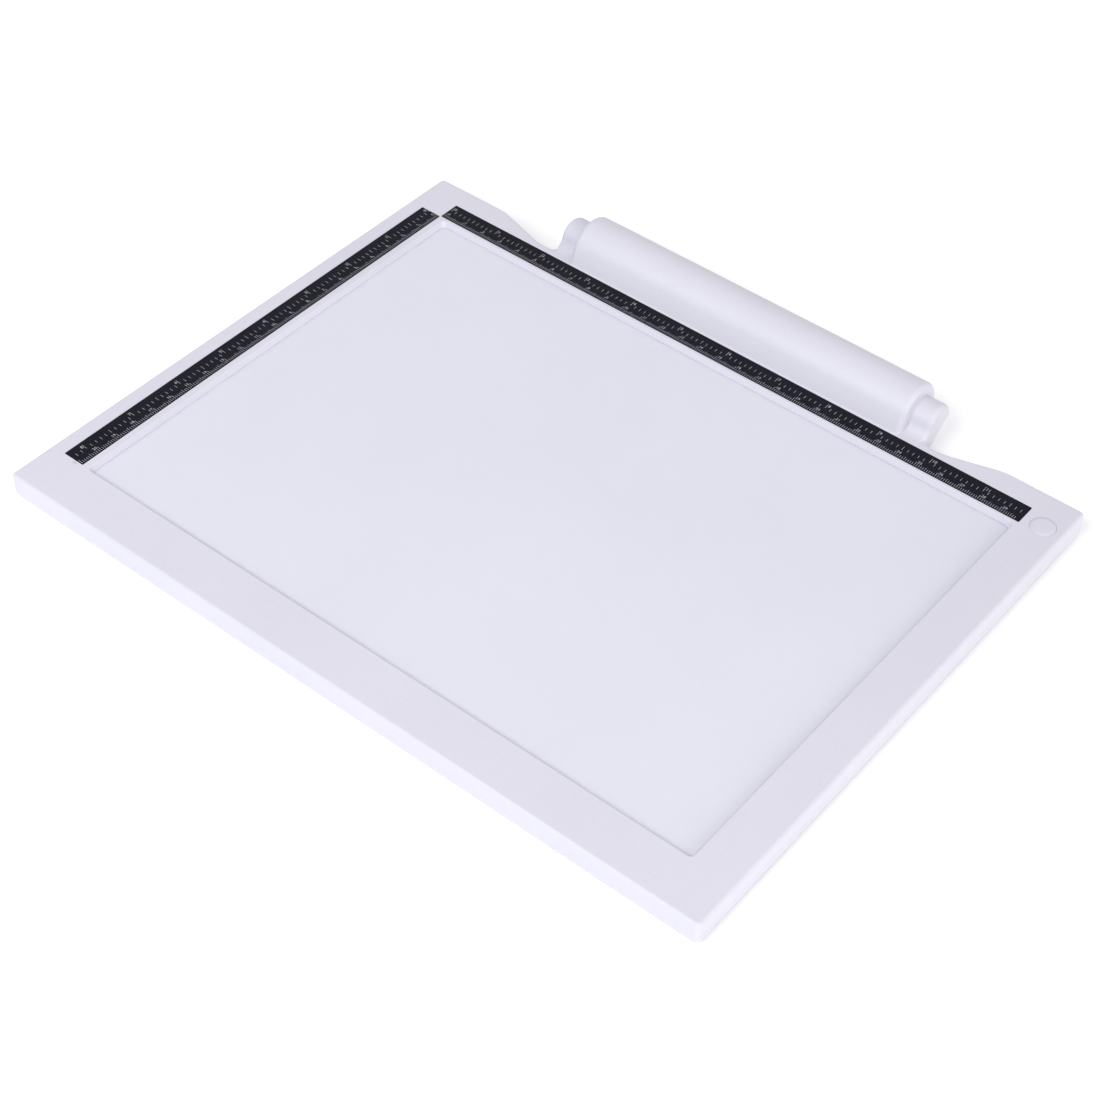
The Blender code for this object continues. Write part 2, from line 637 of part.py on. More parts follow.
def make_contacts(cells_end, parts):
    plate_x = -TRAY_HALF_X + TRAY_END + GAP
    low = (plate_x, BARREL_Y - CONTACT_HALF, BARREL_Z - CONTACT_HALF)
    high = (plate_x + CONTACT_THICKNESS, BARREL_Y + CONTACT_HALF, BARREL_Z + CONTACT_HALF)
    box("contact_plate", low, high, STEEL, parts)
    start = cells_end + SPRING_ROOM
    length = TRAY_HALF_X - TRAY_END - SPRING_ROOM - start
    steps = SPRING_TURNS * 12
    points = []
    for step in range(steps + 1):
        along = step / steps
        radius = SPRING_RADII[0] + (SPRING_RADII[1] - SPRING_RADII[0]) * along
        angle = 2 * math.pi * SPRING_TURNS * along
        points.append((start + length * along, BARREL_Y + radius * math.cos(angle),
                       BARREL_Z + radius * math.sin(angle)))
    wire("contact_spring", points, SPRING_WIRE, STEEL, parts)


def make_light_stack(parts, guides):
    low = (WINDOW_LOW[0] - BORDER, WINDOW_LOW[1] - BORDER)
    high = (WINDOW_HIGH[0] + BORDER, WINDOW_HIGH[1] + BORDER)
    top = BOARD_TOP - TOP_PLATE - GAP
    panel = prism(box_outline(low, high), top - PANEL_THICKNESS, top)
    finish_mesh("drawing_panel", panel, MILKY_ACRYLIC, parts)
    inset = CARRIER_WALL + SHEET_GAP
    sheet_low = (low[0] + inset, low[1] + inset)
    sheet_high = (high[0] - inset, high[1] - inset)
    guide_high = (sheet_high[0], sheet_high[1] - LED_ROOM)
    finish_mesh("reflector_sheet", prism(box_outline(sheet_low, sheet_high), *REFLECTOR_Z), WHITE_FILM, parts)
    finish_mesh("light_guide", prism(box_outline(sheet_low, guide_high), *GUIDE_Z), CLEAR_ACRYLIC, parts)
    finish_mesh("diffuser_film", prism(box_outline(sheet_low, sheet_high), *DIFFUSER_Z), WHITE_FILM, parts)
    carrier = finish_mesh("panel_carrier", prism(box_outline(low, high), *CARRIER_Z), WHITE_ABS, parts)
    inner_low = (low[0] + CARRIER_WALL, low[1] + CARRIER_WALL)
    inner_high = (high[0] - CARRIER_WALL, high[1] - CARRIER_WALL)
    room = finish_mesh("carrier_room", prism(box_outline(inner_low, inner_high), 0, 20), None, guides)
    slot = rod("carrier_slot", (LED_LEAD_X, high[1] - 5, LED_LEAD_Z), 8, 2 * LEAD_RADIUS, "Y", None, guides, 10)
    cut(carrier, room, slot)
    back = sheet_high[1] - 0.1
    strip_low = (sheet_low[0] + LED_MARGIN, back - LED_BOARD, LED_BOARD_Z[0])
    strip_high = (sheet_high[0] - LED_MARGIN, back, LED_BOARD_Z[1])
    strip = box("led_strip", strip_low, strip_high, GREEN_BOARD, parts)
    first = sheet_low[0] + LED_FIRST
    pitch = (sheet_high[0] - LED_FIRST - first) / (LED_COUNT - 1)
    for index in range(LED_COUNT):
        x = first + index * pitch
        low_corner = (x - LED_HALF, back - LED_HALF, LED_Z[0])
        high_corner = (x + LED_HALF, back - LED_BOARD / 2, LED_Z[1])
        join(strip, box("led_%d" % index, low_corner, high_corner, None, guides))


def make_electronics(parts, guides):
    board = box("control_board", PCB_LOW, PCB_HIGH, GREEN_BOARD, parts)
    surface = PCB_HIGH[2]
    for index, (x, y, half, height) in enumerate(CHIPS):
        low = (x - half, y - half, surface - GAP)
        high = (x + half, y + half, surface + height)
        join(board, box("chip_%d" % index, low, high, None, guides))
    x, y = BUTTON_CENTRE
    low = (x - SWITCH_HALF, y - SWITCH_HALF, SWITCH_Z[0])
    high = (x + SWITCH_HALF, y + SWITCH_HALF, SWITCH_Z[1])
    box("switch_body", low, high, BLACK_PLASTIC, parts)
    plunger = [(0, PLUNGER_Z[1]), (PLUNGER_RADIUS - 0.2, PLUNGER_Z[1]), (PLUNGER_RADIUS, PLUNGER_Z[1] - 0.2),
               (PLUNGER_RADIUS, PLUNGER_Z[0]), (0, PLUNGER_Z[0])]
    turned("switch_plunger", plunger, 20, (x, y, 0), BLACK_PLASTIC, parts)
    cap_top = BOARD_TOP + BUTTON_PROUD
    cap = [(0, cap_top), (BUTTON_RADIUS - 0.5, cap_top), (BUTTON_RADIUS - 0.15, cap_top - 0.15),
           (BUTTON_RADIUS, cap_top - 0.5), (BUTTON_RADIUS, FLANGE_Z[1]), (FLANGE_RADIUS, FLANGE_Z[1]),
           (FLANGE_RADIUS, FLANGE_Z[0]), (0, FLANGE_Z[0])]
    turned("power_button", cap, 32, (x, y, 0), WHITE_ABS, parts)
    socket = box("dc_socket", SOCKET_LOW, SOCKET_HIGH, BLACK_PLASTIC, parts)
    centre = (SOCKET_LOW[0] + SOCKET_HIGH[0]) / 2
    depth = SOCKET_HIGH[1] - SOCKET_LOW[1]
    bore_start = (centre, SOCKET_LOW[1] + SOCKET_REAR, SOCKET_Z)
    bore = rod("socket_bore", bore_start, depth, SOCKET_BORE, "Y", None, guides, 20)
    pin_start = (centre, SOCKET_LOW[1] + SOCKET_REAR / 2, SOCKET_Z)
    pin = rod("socket_pin", pin_start, depth - SOCKET_REAR, SOCKET_PIN, "Y", None, guides, 12)
    cut(socket, bore)
    join(socket, pin)


def make_leads(parts):
    """Two leads from the barrel through the passage to the control board, and one to the lights."""
    for index, (name, spec) in enumerate([("lead_positive", RED_WIRE), ("lead_negative", BLACK_WIRE)]):
        height = PASSAGE_Z + 0.6 - 1.2 * index
        row = 103.4 - 1.5 * index
        knots = [(PASSAGE_X, 119.0, height + 1.0), (PASSAGE_X, 114.0, height), (PASSAGE_X, 109.0, height),
                 (PASSAGE_X + 1.6, row + 1.2, height), (PASSAGE_X + 6.0, row, height), (110.0, row, height),
                 (140.0, row, height), (151.0, row - 1.6, height - 1.6), (154.2, row - 4.6, 6.2),
                 (156.4, row - 7.6, 5.6)]
        wire(name, smooth_route(knots, 34), LEAD_RADIUS, spec, parts)
    x, z = LED_LEAD_X, LED_LEAD_Z
    low = FLOOR + BOARD_BOTTOM + 1.2
    knots = [(x, 93.5, z), (x, 96.5, z), (x, 99.2, z), (x + 2.4, 100.6, z - 1.4), (x + 10.0, 100.2, low + 0.4),
             (152.0, 100.4, low), (154.2, 97.8, low), (154.3, 91.0, low + 1.0), (156.8, 88.0, 5.6)]
    wire("led_lead", smooth_route(knots, 22), LEAD_RADIUS, BLACK_WIRE, parts)


def make_fasteners(parts):
    head_low = BOARD_BOTTOM + SCREW_HEAD_SINK
    head_high = head_low + SCREW_HEAD_HEIGHT
    profile = [(0, SCREW_TOP), (0.3, SCREW_TOP), (SCREW_SHANK_RADIUS, SCREW_TOP - 1.2),
               (SCREW_SHANK_RADIUS, head_high), (SCREW_HEAD_RADIUS, head_high),
               (SCREW_HEAD_RADIUS, head_low + 0.2), (SCREW_HEAD_RADIUS - 0.3, head_low), (0, head_low)]
    for index, (x, y) in enumerate(SCREW_SPOTS):
        turned("screw_%d" % (index + 1), profile, 16, (x, y, 0), STEEL, parts)


def make_feet(parts):
    top = BOARD_BOTTOM - 0.05
    profile = [(0, top), (FOOT_RADIUS, top), (FOOT_RADIUS, 0.5), (FOOT_RADIUS - 0.5, 0.0), (0, 0.0)]
    for index, (x, y) in enumerate(FOOT_SPOTS):
        turned("foot_%d" % (index + 1), profile, 28, (x, y, 0), RUBBER, parts)


def main():
    clear_scene()
    parts = make_collection("light_box")
    guides = make_collection("cutters")
    make_top_frame(parts, guides)
    make_back_cover(parts, guides)
    make_ruler("top", parts)
    make_ruler("left", parts)
    make_light_stack(parts, guides)
    make_door(parts, guides)
    make_tray(parts, guides)
    cells_end = make_cells(parts)
    make_contacts(cells_end, parts)
    make_electronics(parts, guides)
    make_leads(parts)
    make_fasteners(parts)
    make_feet(parts)


main()
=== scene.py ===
import json
import math

import bmesh
import bpy
from mathutils import Matrix, Vector


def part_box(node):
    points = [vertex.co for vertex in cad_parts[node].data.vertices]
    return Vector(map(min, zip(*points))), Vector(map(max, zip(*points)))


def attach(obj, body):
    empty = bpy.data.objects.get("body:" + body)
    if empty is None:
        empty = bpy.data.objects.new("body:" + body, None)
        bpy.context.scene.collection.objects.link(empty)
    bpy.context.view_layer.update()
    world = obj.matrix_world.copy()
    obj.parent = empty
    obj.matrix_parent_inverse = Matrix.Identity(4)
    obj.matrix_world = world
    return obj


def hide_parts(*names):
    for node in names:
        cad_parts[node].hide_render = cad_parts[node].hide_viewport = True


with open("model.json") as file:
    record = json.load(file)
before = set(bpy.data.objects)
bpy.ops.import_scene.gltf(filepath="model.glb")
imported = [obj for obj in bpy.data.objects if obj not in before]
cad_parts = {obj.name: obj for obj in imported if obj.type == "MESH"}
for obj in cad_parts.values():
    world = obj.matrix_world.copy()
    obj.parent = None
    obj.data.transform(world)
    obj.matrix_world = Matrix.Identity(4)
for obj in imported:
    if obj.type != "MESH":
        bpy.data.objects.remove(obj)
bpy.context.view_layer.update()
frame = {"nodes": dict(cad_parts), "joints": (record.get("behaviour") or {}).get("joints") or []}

# Lengths below are in millimetres and are turned into metres where the meshes are made.
MM = 0.001


def edges(node):
    """Lowest and highest corner of a CAD node, in millimetres."""
    low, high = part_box(node)
    return low / MM, high / MM


def middle(node):
    low, high = edges(node)
    return (low + high) / 2


FRAME_LOW, FRAME_HIGH = edges("top_frame")
PANEL_LOW, PANEL_HIGH = edges("drawing_panel")
BUTTON_LOW, BUTTON_HIGH = edges("power_button")
DOOR_LOW, DOOR_HIGH = edges("battery_door")
SOCKET_LOW, SOCKET_HIGH = edges("dc_socket")
BUTTON = middle("power_button")
SOCKET = middle("dc_socket")
DOOR_SWING = next(joint for joint in frame["joints"] if joint["name"] == "battery_door_swing")
HINGE = Vector(DOOR_SWING["pos_m"]) / MM

# Board
SIDE = FRAME_HIGH.x
FRONT = FRAME_LOW.y
BACK = 118.5
BOTTOM = edges("back_cover")[0].z
TOP = 12.5
PARTING = 5.2             # height of the seam between the two mouldings
SEAM = 0.03               # half of the seam's width
WALL = 2.0
FLOOR = 1.6
PLATE = 2.45              # thickness of the frame around the window
CORNER = 2.0
INNER_CORNER = 0.8        # smallest radius of the outline once it is inset
UNDERSIDE_SOFTENING = 0.3     # how much rounder the lower corners grow for each millimetre of inset
TOP_ROUND = 1.4
BOTTOM_ROUND = 1.5
SEAM_ROUND = 0.06
NOTCH_BACK = 111.1        # the back edge where the barrel stands
NOTCH_OUTER = 131.0
NOTCH_INNER = 106.0
NOTCH_RADIUS = 25.0

# Window and ruler recesses
BORDER = 3.2              # how far the panel reaches under the frame
WINDOW_TAPER = 1.0
WINDOW_CORNER = 2.0
WINDOW_EDGE = 0.3
STRIP_GAP = 0.1
STRIP_CORNER = 0.35
STRIP_EDGE = 0.04

# Barrel
AXIS_Y = middle("cell_2").y
AXIS_Z = middle("cell_2").z
BARREL = 13.0
BARREL_HALF = 86.5
BARREL_ROUND = 2.5
BARREL_FOOT = 107.2       # where the barrel's front flank starts on the board
BARREL_FILLET = 1.0
BARREL_WALL = 1.8
BARREL_SEAM_Y = 112.0     # in front of this the seam drops to the board's parting height
END = 8.2
END_HALF = 96.75
END_ROUND = 2.2
END_FILLET = 6.0
END_GUSSET = 3.0          # plan fillet where an end meets the back edge of the board
END_SLOPE = math.radians(41.4)      # the flat cut across the lower rear of each end
END_SLOPE_OFFSET = 4.99
NECK_FILLET = 0.4
NECK_ROOT = 2.0           # how far the neck's ring reaches into the large part

# Door
PIN_LENGTH = 2.6
PIN_RADIUS = 0.7
BEAD_RADIUS = 1.3
EAR_RADIUS = 1.6
EAR_LENGTH = 3.4
EAR_HOLE_RADIUS = 1.0
EAR_HOLE_LENGTH = 3.8
DOOR_HALF = DOOR_HIGH.x - PIN_LENGTH
DOOR_TOP_ANGLE = -16.0
DOOR_BOTTOM_ANGLE = -77.0
DOOR_LIP = 2.0            # degrees that the door's inner face reaches above its outer one
DOOR_WALL = 1.6
DOOR_ROUND = 0.3
MOUTH_MARGIN = 1.3        # degrees between the mouth's lower edge and the door
MOUTH_DEPTH = 6.0         # how near the barrel's axis the mouth's cutter starts
MOUTH_TOP = 3.0           # its top above the barrel's axis
MOUTH_REACH = 20.0
GROOVES = 5
GROOVE_START = 8.0        # degrees from the door's lower edge to the first finger groove
GROOVE_PITCH = 4.6        # degrees
GROOVE_LENGTH = 18.0
GROOVE_TAPER = 1.2        # how much shorter each groove is than the one before
GROOVE_RADIUS = 0.8
GROOVE_OFFSET = 0.35      # from the barrel's surface out to a groove's axis

# Button
CAP_RADIUS = 5.27
CAP_CROWN = 4.0           # radius where the flat middle turns into the sloping rim
CAP_SHOULDER = ((-0.2, 0.0), (0.1, -0.02), (0.25, -0.05))     # steps round that turn, outwards and up
CAP_DROP = 0.42           # height of the crown above the top of the rim
CAP_RIM = 0.1
FLANGE_RADIUS = 6.2
FLANGE = 0.7
BUTTON_HOLE_RADIUS = 5.35
BUTTON_HOLE_DEPTH = 8
BUTTON_HOLE_EDGE = 0.05

# Socket
SOCKET_Z = 7.7
SOCKET_HOLE_RADIUS = 2.3
SOCKET_HOLE_DEPTH = 6
SOCKET_HOLE_EDGE = 0.25
JACK_BORE_RADIUS = 1.9
JACK_PIN_START = 1.55     # from the socket's inner end to its pin

# Screws, bosses and other repeated parts
SCREWS = 8
FEET = 4
CELLS = 3
BOSS_RADIUS = 3.0
BOSS_GAP = 0.25           # between a boss and the floor
BOSS_CAP = 1              # from the top of a boss to the top face
PILOT_RADIUS = 1.35
PILOT_TOP = 9.4
SHANK_HOLE_RADIUS = 1.4
SHANK_HOLE_TOP = 8.0
HEAD_HOLE_RADIUS = 2.5
HEAD_HOLE_DEPTH = 1.0
HEAD_HOLE_EDGE = 0.2

GAP = 0.3
SUNK = 0.02               # how far one joined solid reaches into another where their faces would be flush
OVERLAP = 1               # how far cutters and roots reach past where they have to
BEYOND = 250.0            # farther out than any part of the object
BELOW = -5                # heights under and over the whole object
ABOVE = AXIS_Z + 40
POCKET_TOP = 40           # clear of the back cover's walls


# Mesh tools

def add_object(name, mesh):
    made = bpy.data.objects.new(name, mesh)
    bpy.context.scene.collection.objects.link(made)
    return made


def from_bmesh(name, bm):
    """An object in metres from a bmesh in millimetres."""
    bmesh.ops.scale(bm, verts=bm.verts, vec=(MM, MM, MM))
    bmesh.ops.recalc_face_normals(bm, faces=bm.faces)
    mesh = bpy.data.meshes.new(name)
    bm.to_mesh(mesh)
    bm.free()
    return add_object(name, mesh)


def rounded(corners):
    """Outline through (x, y, radius, segments) corners, each rounded by an arc."""
    points = []
    for index, (x, y, radius, segments) in enumerate(corners):
        here = Vector((x, y))
        back = (Vector(corners[index - 1][:2]) - here).normalized()
        ahead = (Vector(corners[(index + 1) % len(corners)][:2]) - here).normalized()
        half = back.angle(ahead) / 2
        start = here + back * radius / math.tan(half)
        centre = here + (back + ahead).normalized() * radius / math.sin(half)
        spoke = start - centre
        turn = 1 if back.x * ahead.y - back.y * ahead.x < 0 else -1
        for step in range(segments + 1):
            angle = turn * (math.pi - 2 * half) * step / segments
            points.append(centre + Matrix.Rotation(angle, 2) @ spoke)
    return points


def arc(centre, radius, start, end, segments):
    """Points on an arc in a plane, with angles in degrees."""
    points = []
    for step in range(segments + 1):
        angle = math.radians(start + (end - start) * step / segments)
        points.append((centre[0] + radius * math.cos(angle), centre[1] + radius * math.sin(angle)))
    return points


def lofted(name, rings):
    """A closed solid through rings of points, with flat ends."""
    bm = bmesh.new()
    loops = [[bm.verts.new(point) for point in ring] for ring in rings]
    for lower, upper in zip(loops, loops[1:]):
        for index in range(len(lower)):
            after = (index + 1) % len(lower)
            bm.faces.new((lower[index], lower[after], upper[after], upper[index]))
    bm.faces.new(list(reversed(loops[0])))
    bm.faces.new(loops[-1])
    return from_bmesh(name, bm)


def stacked(name, outline, levels):
    """A solid over an outline(offset), through (height, offset) levels from the bottom up."""
    return lofted(name, [[(x, y, height) for x, y in outline(offset)] for height, offset in levels])


def along_x(name, outline, levels):
    """A solid with a (Y, Z) outline(offset), through (x, offset) levels."""
    return lofted(name, [[(x, y, z) for y, z in outline(offset)] for x, offset in levels])


def quarter_turn(segments):
    """Angles from 0 to 90 degrees, in radians."""
    return [math.pi / 2 * step / segments for step in range(segments + 1)]


def rounding(position, radius, direction, segments=6):
    """(position, inset) levels over a quarter round that ends at position, moving in direction."""
    return [(position - direction * radius * (1 - math.sin(angle)), radius * (1 - math.cos(angle)))
            for angle in quarter_turn(segments)]


def turned(name, profile, steps, place=(0, 0, 0), axis="Z"):
    """A closed solid: a profile of (radius, height) points from its top to its bottom, spun round an axis."""
    bm = bmesh.new()
    rings = []
    for radius, height in profile:
        if radius < 1e-6:
            rings.append([bm.verts.new((0, 0, height))])
            continue
        ring = []
        for step in range(steps):
            angle = 2 * math.pi * step / steps
            ring.append(bm.verts.new((radius * math.cos(angle), radius * math.sin(angle), height)))
        rings.append(ring)
    for upper, lower in zip(rings, rings[1:]):
        for index in range(steps):
            after = (index + 1) % steps
            corner = [upper[index % len(upper)], lower[index % len(lower)],
                      lower[after % len(lower)], upper[after % len(upper)]]
            bm.faces.new(list(dict.fromkeys(corner)))
    turn = {"X": Matrix.Rotation(math.pi / 2, 4, "Y"), "Y": Matrix.Rotation(-math.pi / 2, 4, "X"),
            "Z": Matrix.Identity(4)}[axis]
    bmesh.ops.transform(bm, matrix=Matrix.Translation(place) @ turn, verts=bm.verts)
    return from_bmesh(name, bm)


def rod(name, start, length, radius, axis, steps=48):
    """A cylinder from start along an axis, used for cutting and joining."""
    along = Vector([1.0 if letter == axis else 0.0 for letter in "XYZ"])
    profile = [(0, length / 2), (radius, length / 2), (radius, -length / 2), (0, -length / 2)]
    return turned(name, profile, steps, Vector(start) + along * length / 2, axis)


def block(name, low, high):
    bm = bmesh.new()
    bmesh.ops.create_cube(bm, size=1.0)
    bmesh.ops.scale(bm, verts=bm.verts, vec=Vector(high) - Vector(low))
    bmesh.ops.translate(bm, verts=bm.verts, vec=(Vector(low) + Vector(high)) / 2)
    return from_bmesh(name, bm)


def combine(base, tools):
    """Apply (operation, object) steps to a solid and remove the tool objects."""
    for operation, tool in tools:
        step = base.modifiers.new(tool.name, "BOOLEAN")
        step.operation = operation
        step.solver = "EXACT"
        step.object = tool
    depsgraph = bpy.context.evaluated_depsgraph_get()
    mesh = bpy.data.meshes.new_from_object(base.evaluated_get(depsgraph))
    base.modifiers.clear()
    base.data = mesh
    mesh.name = base.name
    bm = bmesh.new()
    bm.from_mesh(mesh)
    bmesh.ops.remove_doubles(bm, verts=bm.verts, dist=0.000001)
    bmesh.ops.dissolve_degenerate(bm, edges=bm.edges, dist=0.000001)
    bm.to_mesh(mesh)
    bm.free()
    for _, tool in tools:
        bpy.data.objects.remove(tool)
    return base


def joined(base, *tools):
    return combine(base, [("UNION", tool) for tool in tools])


def carved(base, *tools):
    return combine(base, [("DIFFERENCE", tool) for tool in tools])


def curve_mesh(name, curve):
    """The mesh of a curve, which is then removed."""
    made = add_object(name, curve)
    depsgraph = bpy.context.evaluated_depsgraph_get()
    mesh = bpy.data.meshes.new_from_object(made.evaluated_get(depsgraph))
    bpy.data.objects.remove(made)
    bpy.data.curves.remove(curve)
    return mesh


def finish_surface(made, sharp=32.0):
    """Smooth shading that keeps flat faces flat and edges over the angle crisp."""
    made.data.shade_smooth()
    made.data.set_sharp_from_angle(angle=math.radians(sharp))
    weighted = made.modifiers.new("Even shading", "WEIGHTED_NORMAL")
    weighted.keep_sharp = True
    weighted.weight = 80
    return made


def dress(made, finish, body, slot, *nodes):
    """Give a new piece its material and its body, and hide the CAD nodes that it stands for; the slot argument is not
    used.
    """
    made.data.materials.clear()
    made.data.materials.append(finish)
    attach(made, body)
    if nodes:
        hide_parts(*nodes)
    return made


# Materials

class Surface:
    """A Principled material with noise-driven colour, roughness and relief, in object space."""

    def __init__(self, name, metallic=0.0, **fixed):
        self.material = bpy.data.materials.new(name)
        self.material.use_nodes = True
        self.tree = self.material.node_tree
        self.shader = self.tree.nodes["Principled BSDF"]
        self.shader.inputs["Metallic"].default_value = metallic
        for socket, value in fixed.items():
            self.shader.inputs[socket.replace("_", " ")].default_value = value
        self.place = self.tree.nodes.new("ShaderNodeTexCoord").outputs["Object"]

    def link(self, source, target):
        self.tree.links.new(source, target)

    def scaled(self, stretch):
        """Object coordinates stretched along the axes."""
        mapping = self.tree.nodes.new("ShaderNodeMapping")
        mapping.inputs["Scale"].default_value = stretch
        self.link(self.place, mapping.inputs["Vector"])
        return mapping.outputs["Vector"]

    def noise(self, size, detail=2.0, stretch=(1, 1, 1)):
        """Noise whose features are about size metres across."""
        texture = self.tree.nodes.new("ShaderNodeTexNoise")
        texture.inputs["Scale"].default_value = 1.0 / size
        texture.inputs["Detail"].default_value = detail
        self.link(self.scaled(stretch), texture.inputs["Vector"])
        return texture.outputs["Fac"]

    def cells(self, size, feature="F1"):
        """Distances in a pattern of irregular cells about size metres across."""
        texture = self.tree.nodes.new("ShaderNodeTexVoronoi")
        texture.feature = feature
        texture.inputs["Scale"].default_value = 1.0 / size
        self.link(self.place, texture.inputs["Vector"])
        return texture.outputs["Distance"]

    def ramp(self, source, stops):
        """Colours by value: stops are (position, (r, g, b))."""
        node = self.tree.nodes.new("ShaderNodeValToRGB")
        node.color_ramp.elements.remove(node.color_ramp.elements[1])
        node.color_ramp.elements[0].position = stops[0][0]
        node.color_ramp.elements[0].color = (*stops[0][1], 1.0)
        for position, colour in stops[1:]:
            node.color_ramp.elements.new(position).color = (*colour, 1.0)
        self.link(source, node.inputs["Fac"])
        return node.outputs["Color"]

    def range(self, source, low, high):
        """The middle of a noise, stretched to run from low to high."""
        node = self.tree.nodes.new("ShaderNodeMapRange")
        node.inputs["From Min"].default_value = 0.3
        node.inputs["From Max"].default_value = 0.7
        node.inputs["To Min"].default_value = low
        node.inputs["To Max"].default_value = high
        self.link(source, node.inputs["Value"])
        return node.outputs["Result"]

    def mix(self, amount, first, second, blend="MIX"):
        """Two colours, each a socket or an (r, g, b); the numbers are the node's sockets for colours."""
        node = self.tree.nodes.new("ShaderNodeMix")
        node.data_type = "RGBA"
        node.blend_type = blend
        sockets = (node.inputs[0], node.inputs[6], node.inputs[7])
        for source, target in zip((amount, first, second), sockets):
            if isinstance(source, (int, float)):
                target.default_value = source
            elif isinstance(source, tuple):
                target.default_value = (*source, 1.0)
            else:
                self.link(source, target)
        return node.outputs[2]

    def colour(self, source):
        self.link(source, self.shader.inputs["Base Color"])

    def roughness(self, source, low, high):
        self.link(self.range(source, low, high), self.shader.inputs["Roughness"])

    def relief(self, *layers):
        """Bumps from (source, depth in metres) layers."""
        below = None
        for source, depth in layers:
            node = self.tree.nodes.new("ShaderNodeBump")
            node.inputs["Strength"].default_value = 1.0
            node.inputs["Distance"].default_value = depth
            self.link(source, node.inputs["Height"])
            if below:
                self.link(below, node.inputs["Normal"])
            below = node.outputs["Normal"]
        self.link(below, self.shader.inputs["Normal"])


def speckled(name, dark, light, rough, size=0.02, grain=0.0004, depth=0.000004, metallic=0.0, **fixed):
    """A moulded or coated surface: soft colour drift, uneven gloss and a fine grain."""
    surface = Surface(name, metallic, **fixed)
    drift = surface.noise(size, 3.0)
    surface.colour(surface.ramp(drift, [(0.3, dark), (0.7, light)]))
    surface.roughness(surface.noise(size * 0.3, 4.0), rough[0], rough[1])
    surface.relief((surface.noise(grain, 2.0), depth))
    return surface.material


WHITE_DARK = (0.640, 0.632, 0.722)
WHITE_LIGHT = (0.665, 0.656, 0.748)


def white_abs():
    """Moulded ABS with a fine spark texture, faint flow marks and slightly polished patches."""
    surface = Surface("moulded_white_abs")
    drift = surface.noise(0.06, 3.0)
    base = surface.ramp(drift, [(0.3, WHITE_DARK), (0.7, WHITE_LIGHT)])
    specks = surface.ramp(surface.noise(0.0011, 1.0), [(0.28, (0.93, 0.93, 0.94)), (0.4, (1, 1, 1))])
    surface.colour(surface.mix(0.5, base, specks, "MULTIPLY"))
    surface.roughness(surface.noise(0.03, 5.0, (1, 2.5, 1)), 0.42, 0.54)
    surface.relief((surface.noise(0.00045, 2.0), 0.000006), (surface.noise(0.012, 2.0), 0.00001))
    return surface.material


def milky_acrylic():
    """Opal acrylic: light spreads inside it, so it is darker along the edges that run under the frame."""
    surface = Surface("milky_acrylic", Subsurface_Weight=0.6, Subsurface_Scale=0.0035,
                      Subsurface_Radius=(1.0, 1.0, 1.0))
    cloud = surface.noise(0.09, 2.0)
    surface.colour(surface.ramp(cloud, [(0.3, (0.708, 0.710, 0.822)), (0.7, (0.728, 0.730, 0.845))]))
    surface.roughness(surface.noise(0.05, 5.0, (0.6, 2.0, 1)), 0.36, 0.5)
    surface.relief((surface.noise(0.0006, 1.0), 0.000003), (surface.noise(0.04, 2.0), 0.00001))
    return surface.material


def ruler_film():
    """Printed polyester film, near black, with a satin gloss."""
    surface = Surface("ruler_film", Specular_IOR_Level=0.12)
    drift = surface.noise(0.015, 3.0)
    surface.colour(surface.ramp(drift, [(0.3, (0.005, 0.005, 0.0115)), (0.7, (0.0075, 0.0075, 0.0155))]))
    surface.roughness(surface.noise(0.006, 4.0, (1, 3, 1)), 0.38, 0.52)
    surface.relief((surface.noise(0.0005, 2.0), 0.000004))
    return surface.material


def ruler_ink():
    """Screen-printed white ink, slightly uneven in cover."""
    surface = Surface("ruler_ink")
    cover = surface.noise(0.0004, 2.0)
    surface.colour(surface.ramp(cover, [(0.3, (0.42, 0.42, 0.48)), (0.65, (0.52, 0.52, 0.59))]))
    surface.roughness(cover, 0.45, 0.6)
    surface.relief((cover, 0.000004))
    return surface.material


def plated_steel():
    """Bright plated steel with fine brush lines."""
    surface = Surface("plated_steel", metallic=1.0)
    brush = surface.noise(0.0006, 3.0, (1, 6, 6))
    surface.colour(surface.ramp(brush, [(0.3, (0.42, 0.41, 0.39)), (0.7, (0.62, 0.61, 0.59))]))
    surface.roughness(surface.noise(0.002, 4.0), 0.22, 0.42)
    surface.relief((brush, 0.000003))
    return surface.material


def circuit_board():
    """Green solder mask over copper tracks, with tinned pads."""
    surface = Surface("circuit_board", Coat_Weight=0.3, Coat_Roughness=0.2)
    tracks = surface.cells(0.0028, "DISTANCE_TO_EDGE")
    mask = surface.ramp(tracks, [(0.05, (0.05, 0.26, 0.10)), (0.11, (0.015, 0.13, 0.05))])
    pads = surface.ramp(surface.cells(0.0035), [(0.13, (1, 1, 1)), (0.16, (0, 0, 0))])
    surface.colour(surface.mix(pads, mask, (0.55, 0.52, 0.42)))
    surface.roughness(surface.noise(0.002, 3.0), 0.3, 0.5)
    surface.relief((tracks, 0.00003))
    return surface.material


def cell_wrap():
    """Glossy dark green battery sleeve, slightly creased."""
    surface = Surface("cell_wrap", metallic=0.1)
    drift = surface.noise(0.008, 3.0)
    surface.colour(surface.ramp(drift, [(0.3, (0.03, 0.10, 0.06)), (0.7, (0.05, 0.15, 0.09))]))
    surface.roughness(surface.noise(0.003, 4.0), 0.25, 0.4)
    surface.relief((surface.noise(0.0015, 2.0, (0.4, 1, 1)), 0.00001))
    return surface.material


# The two shells

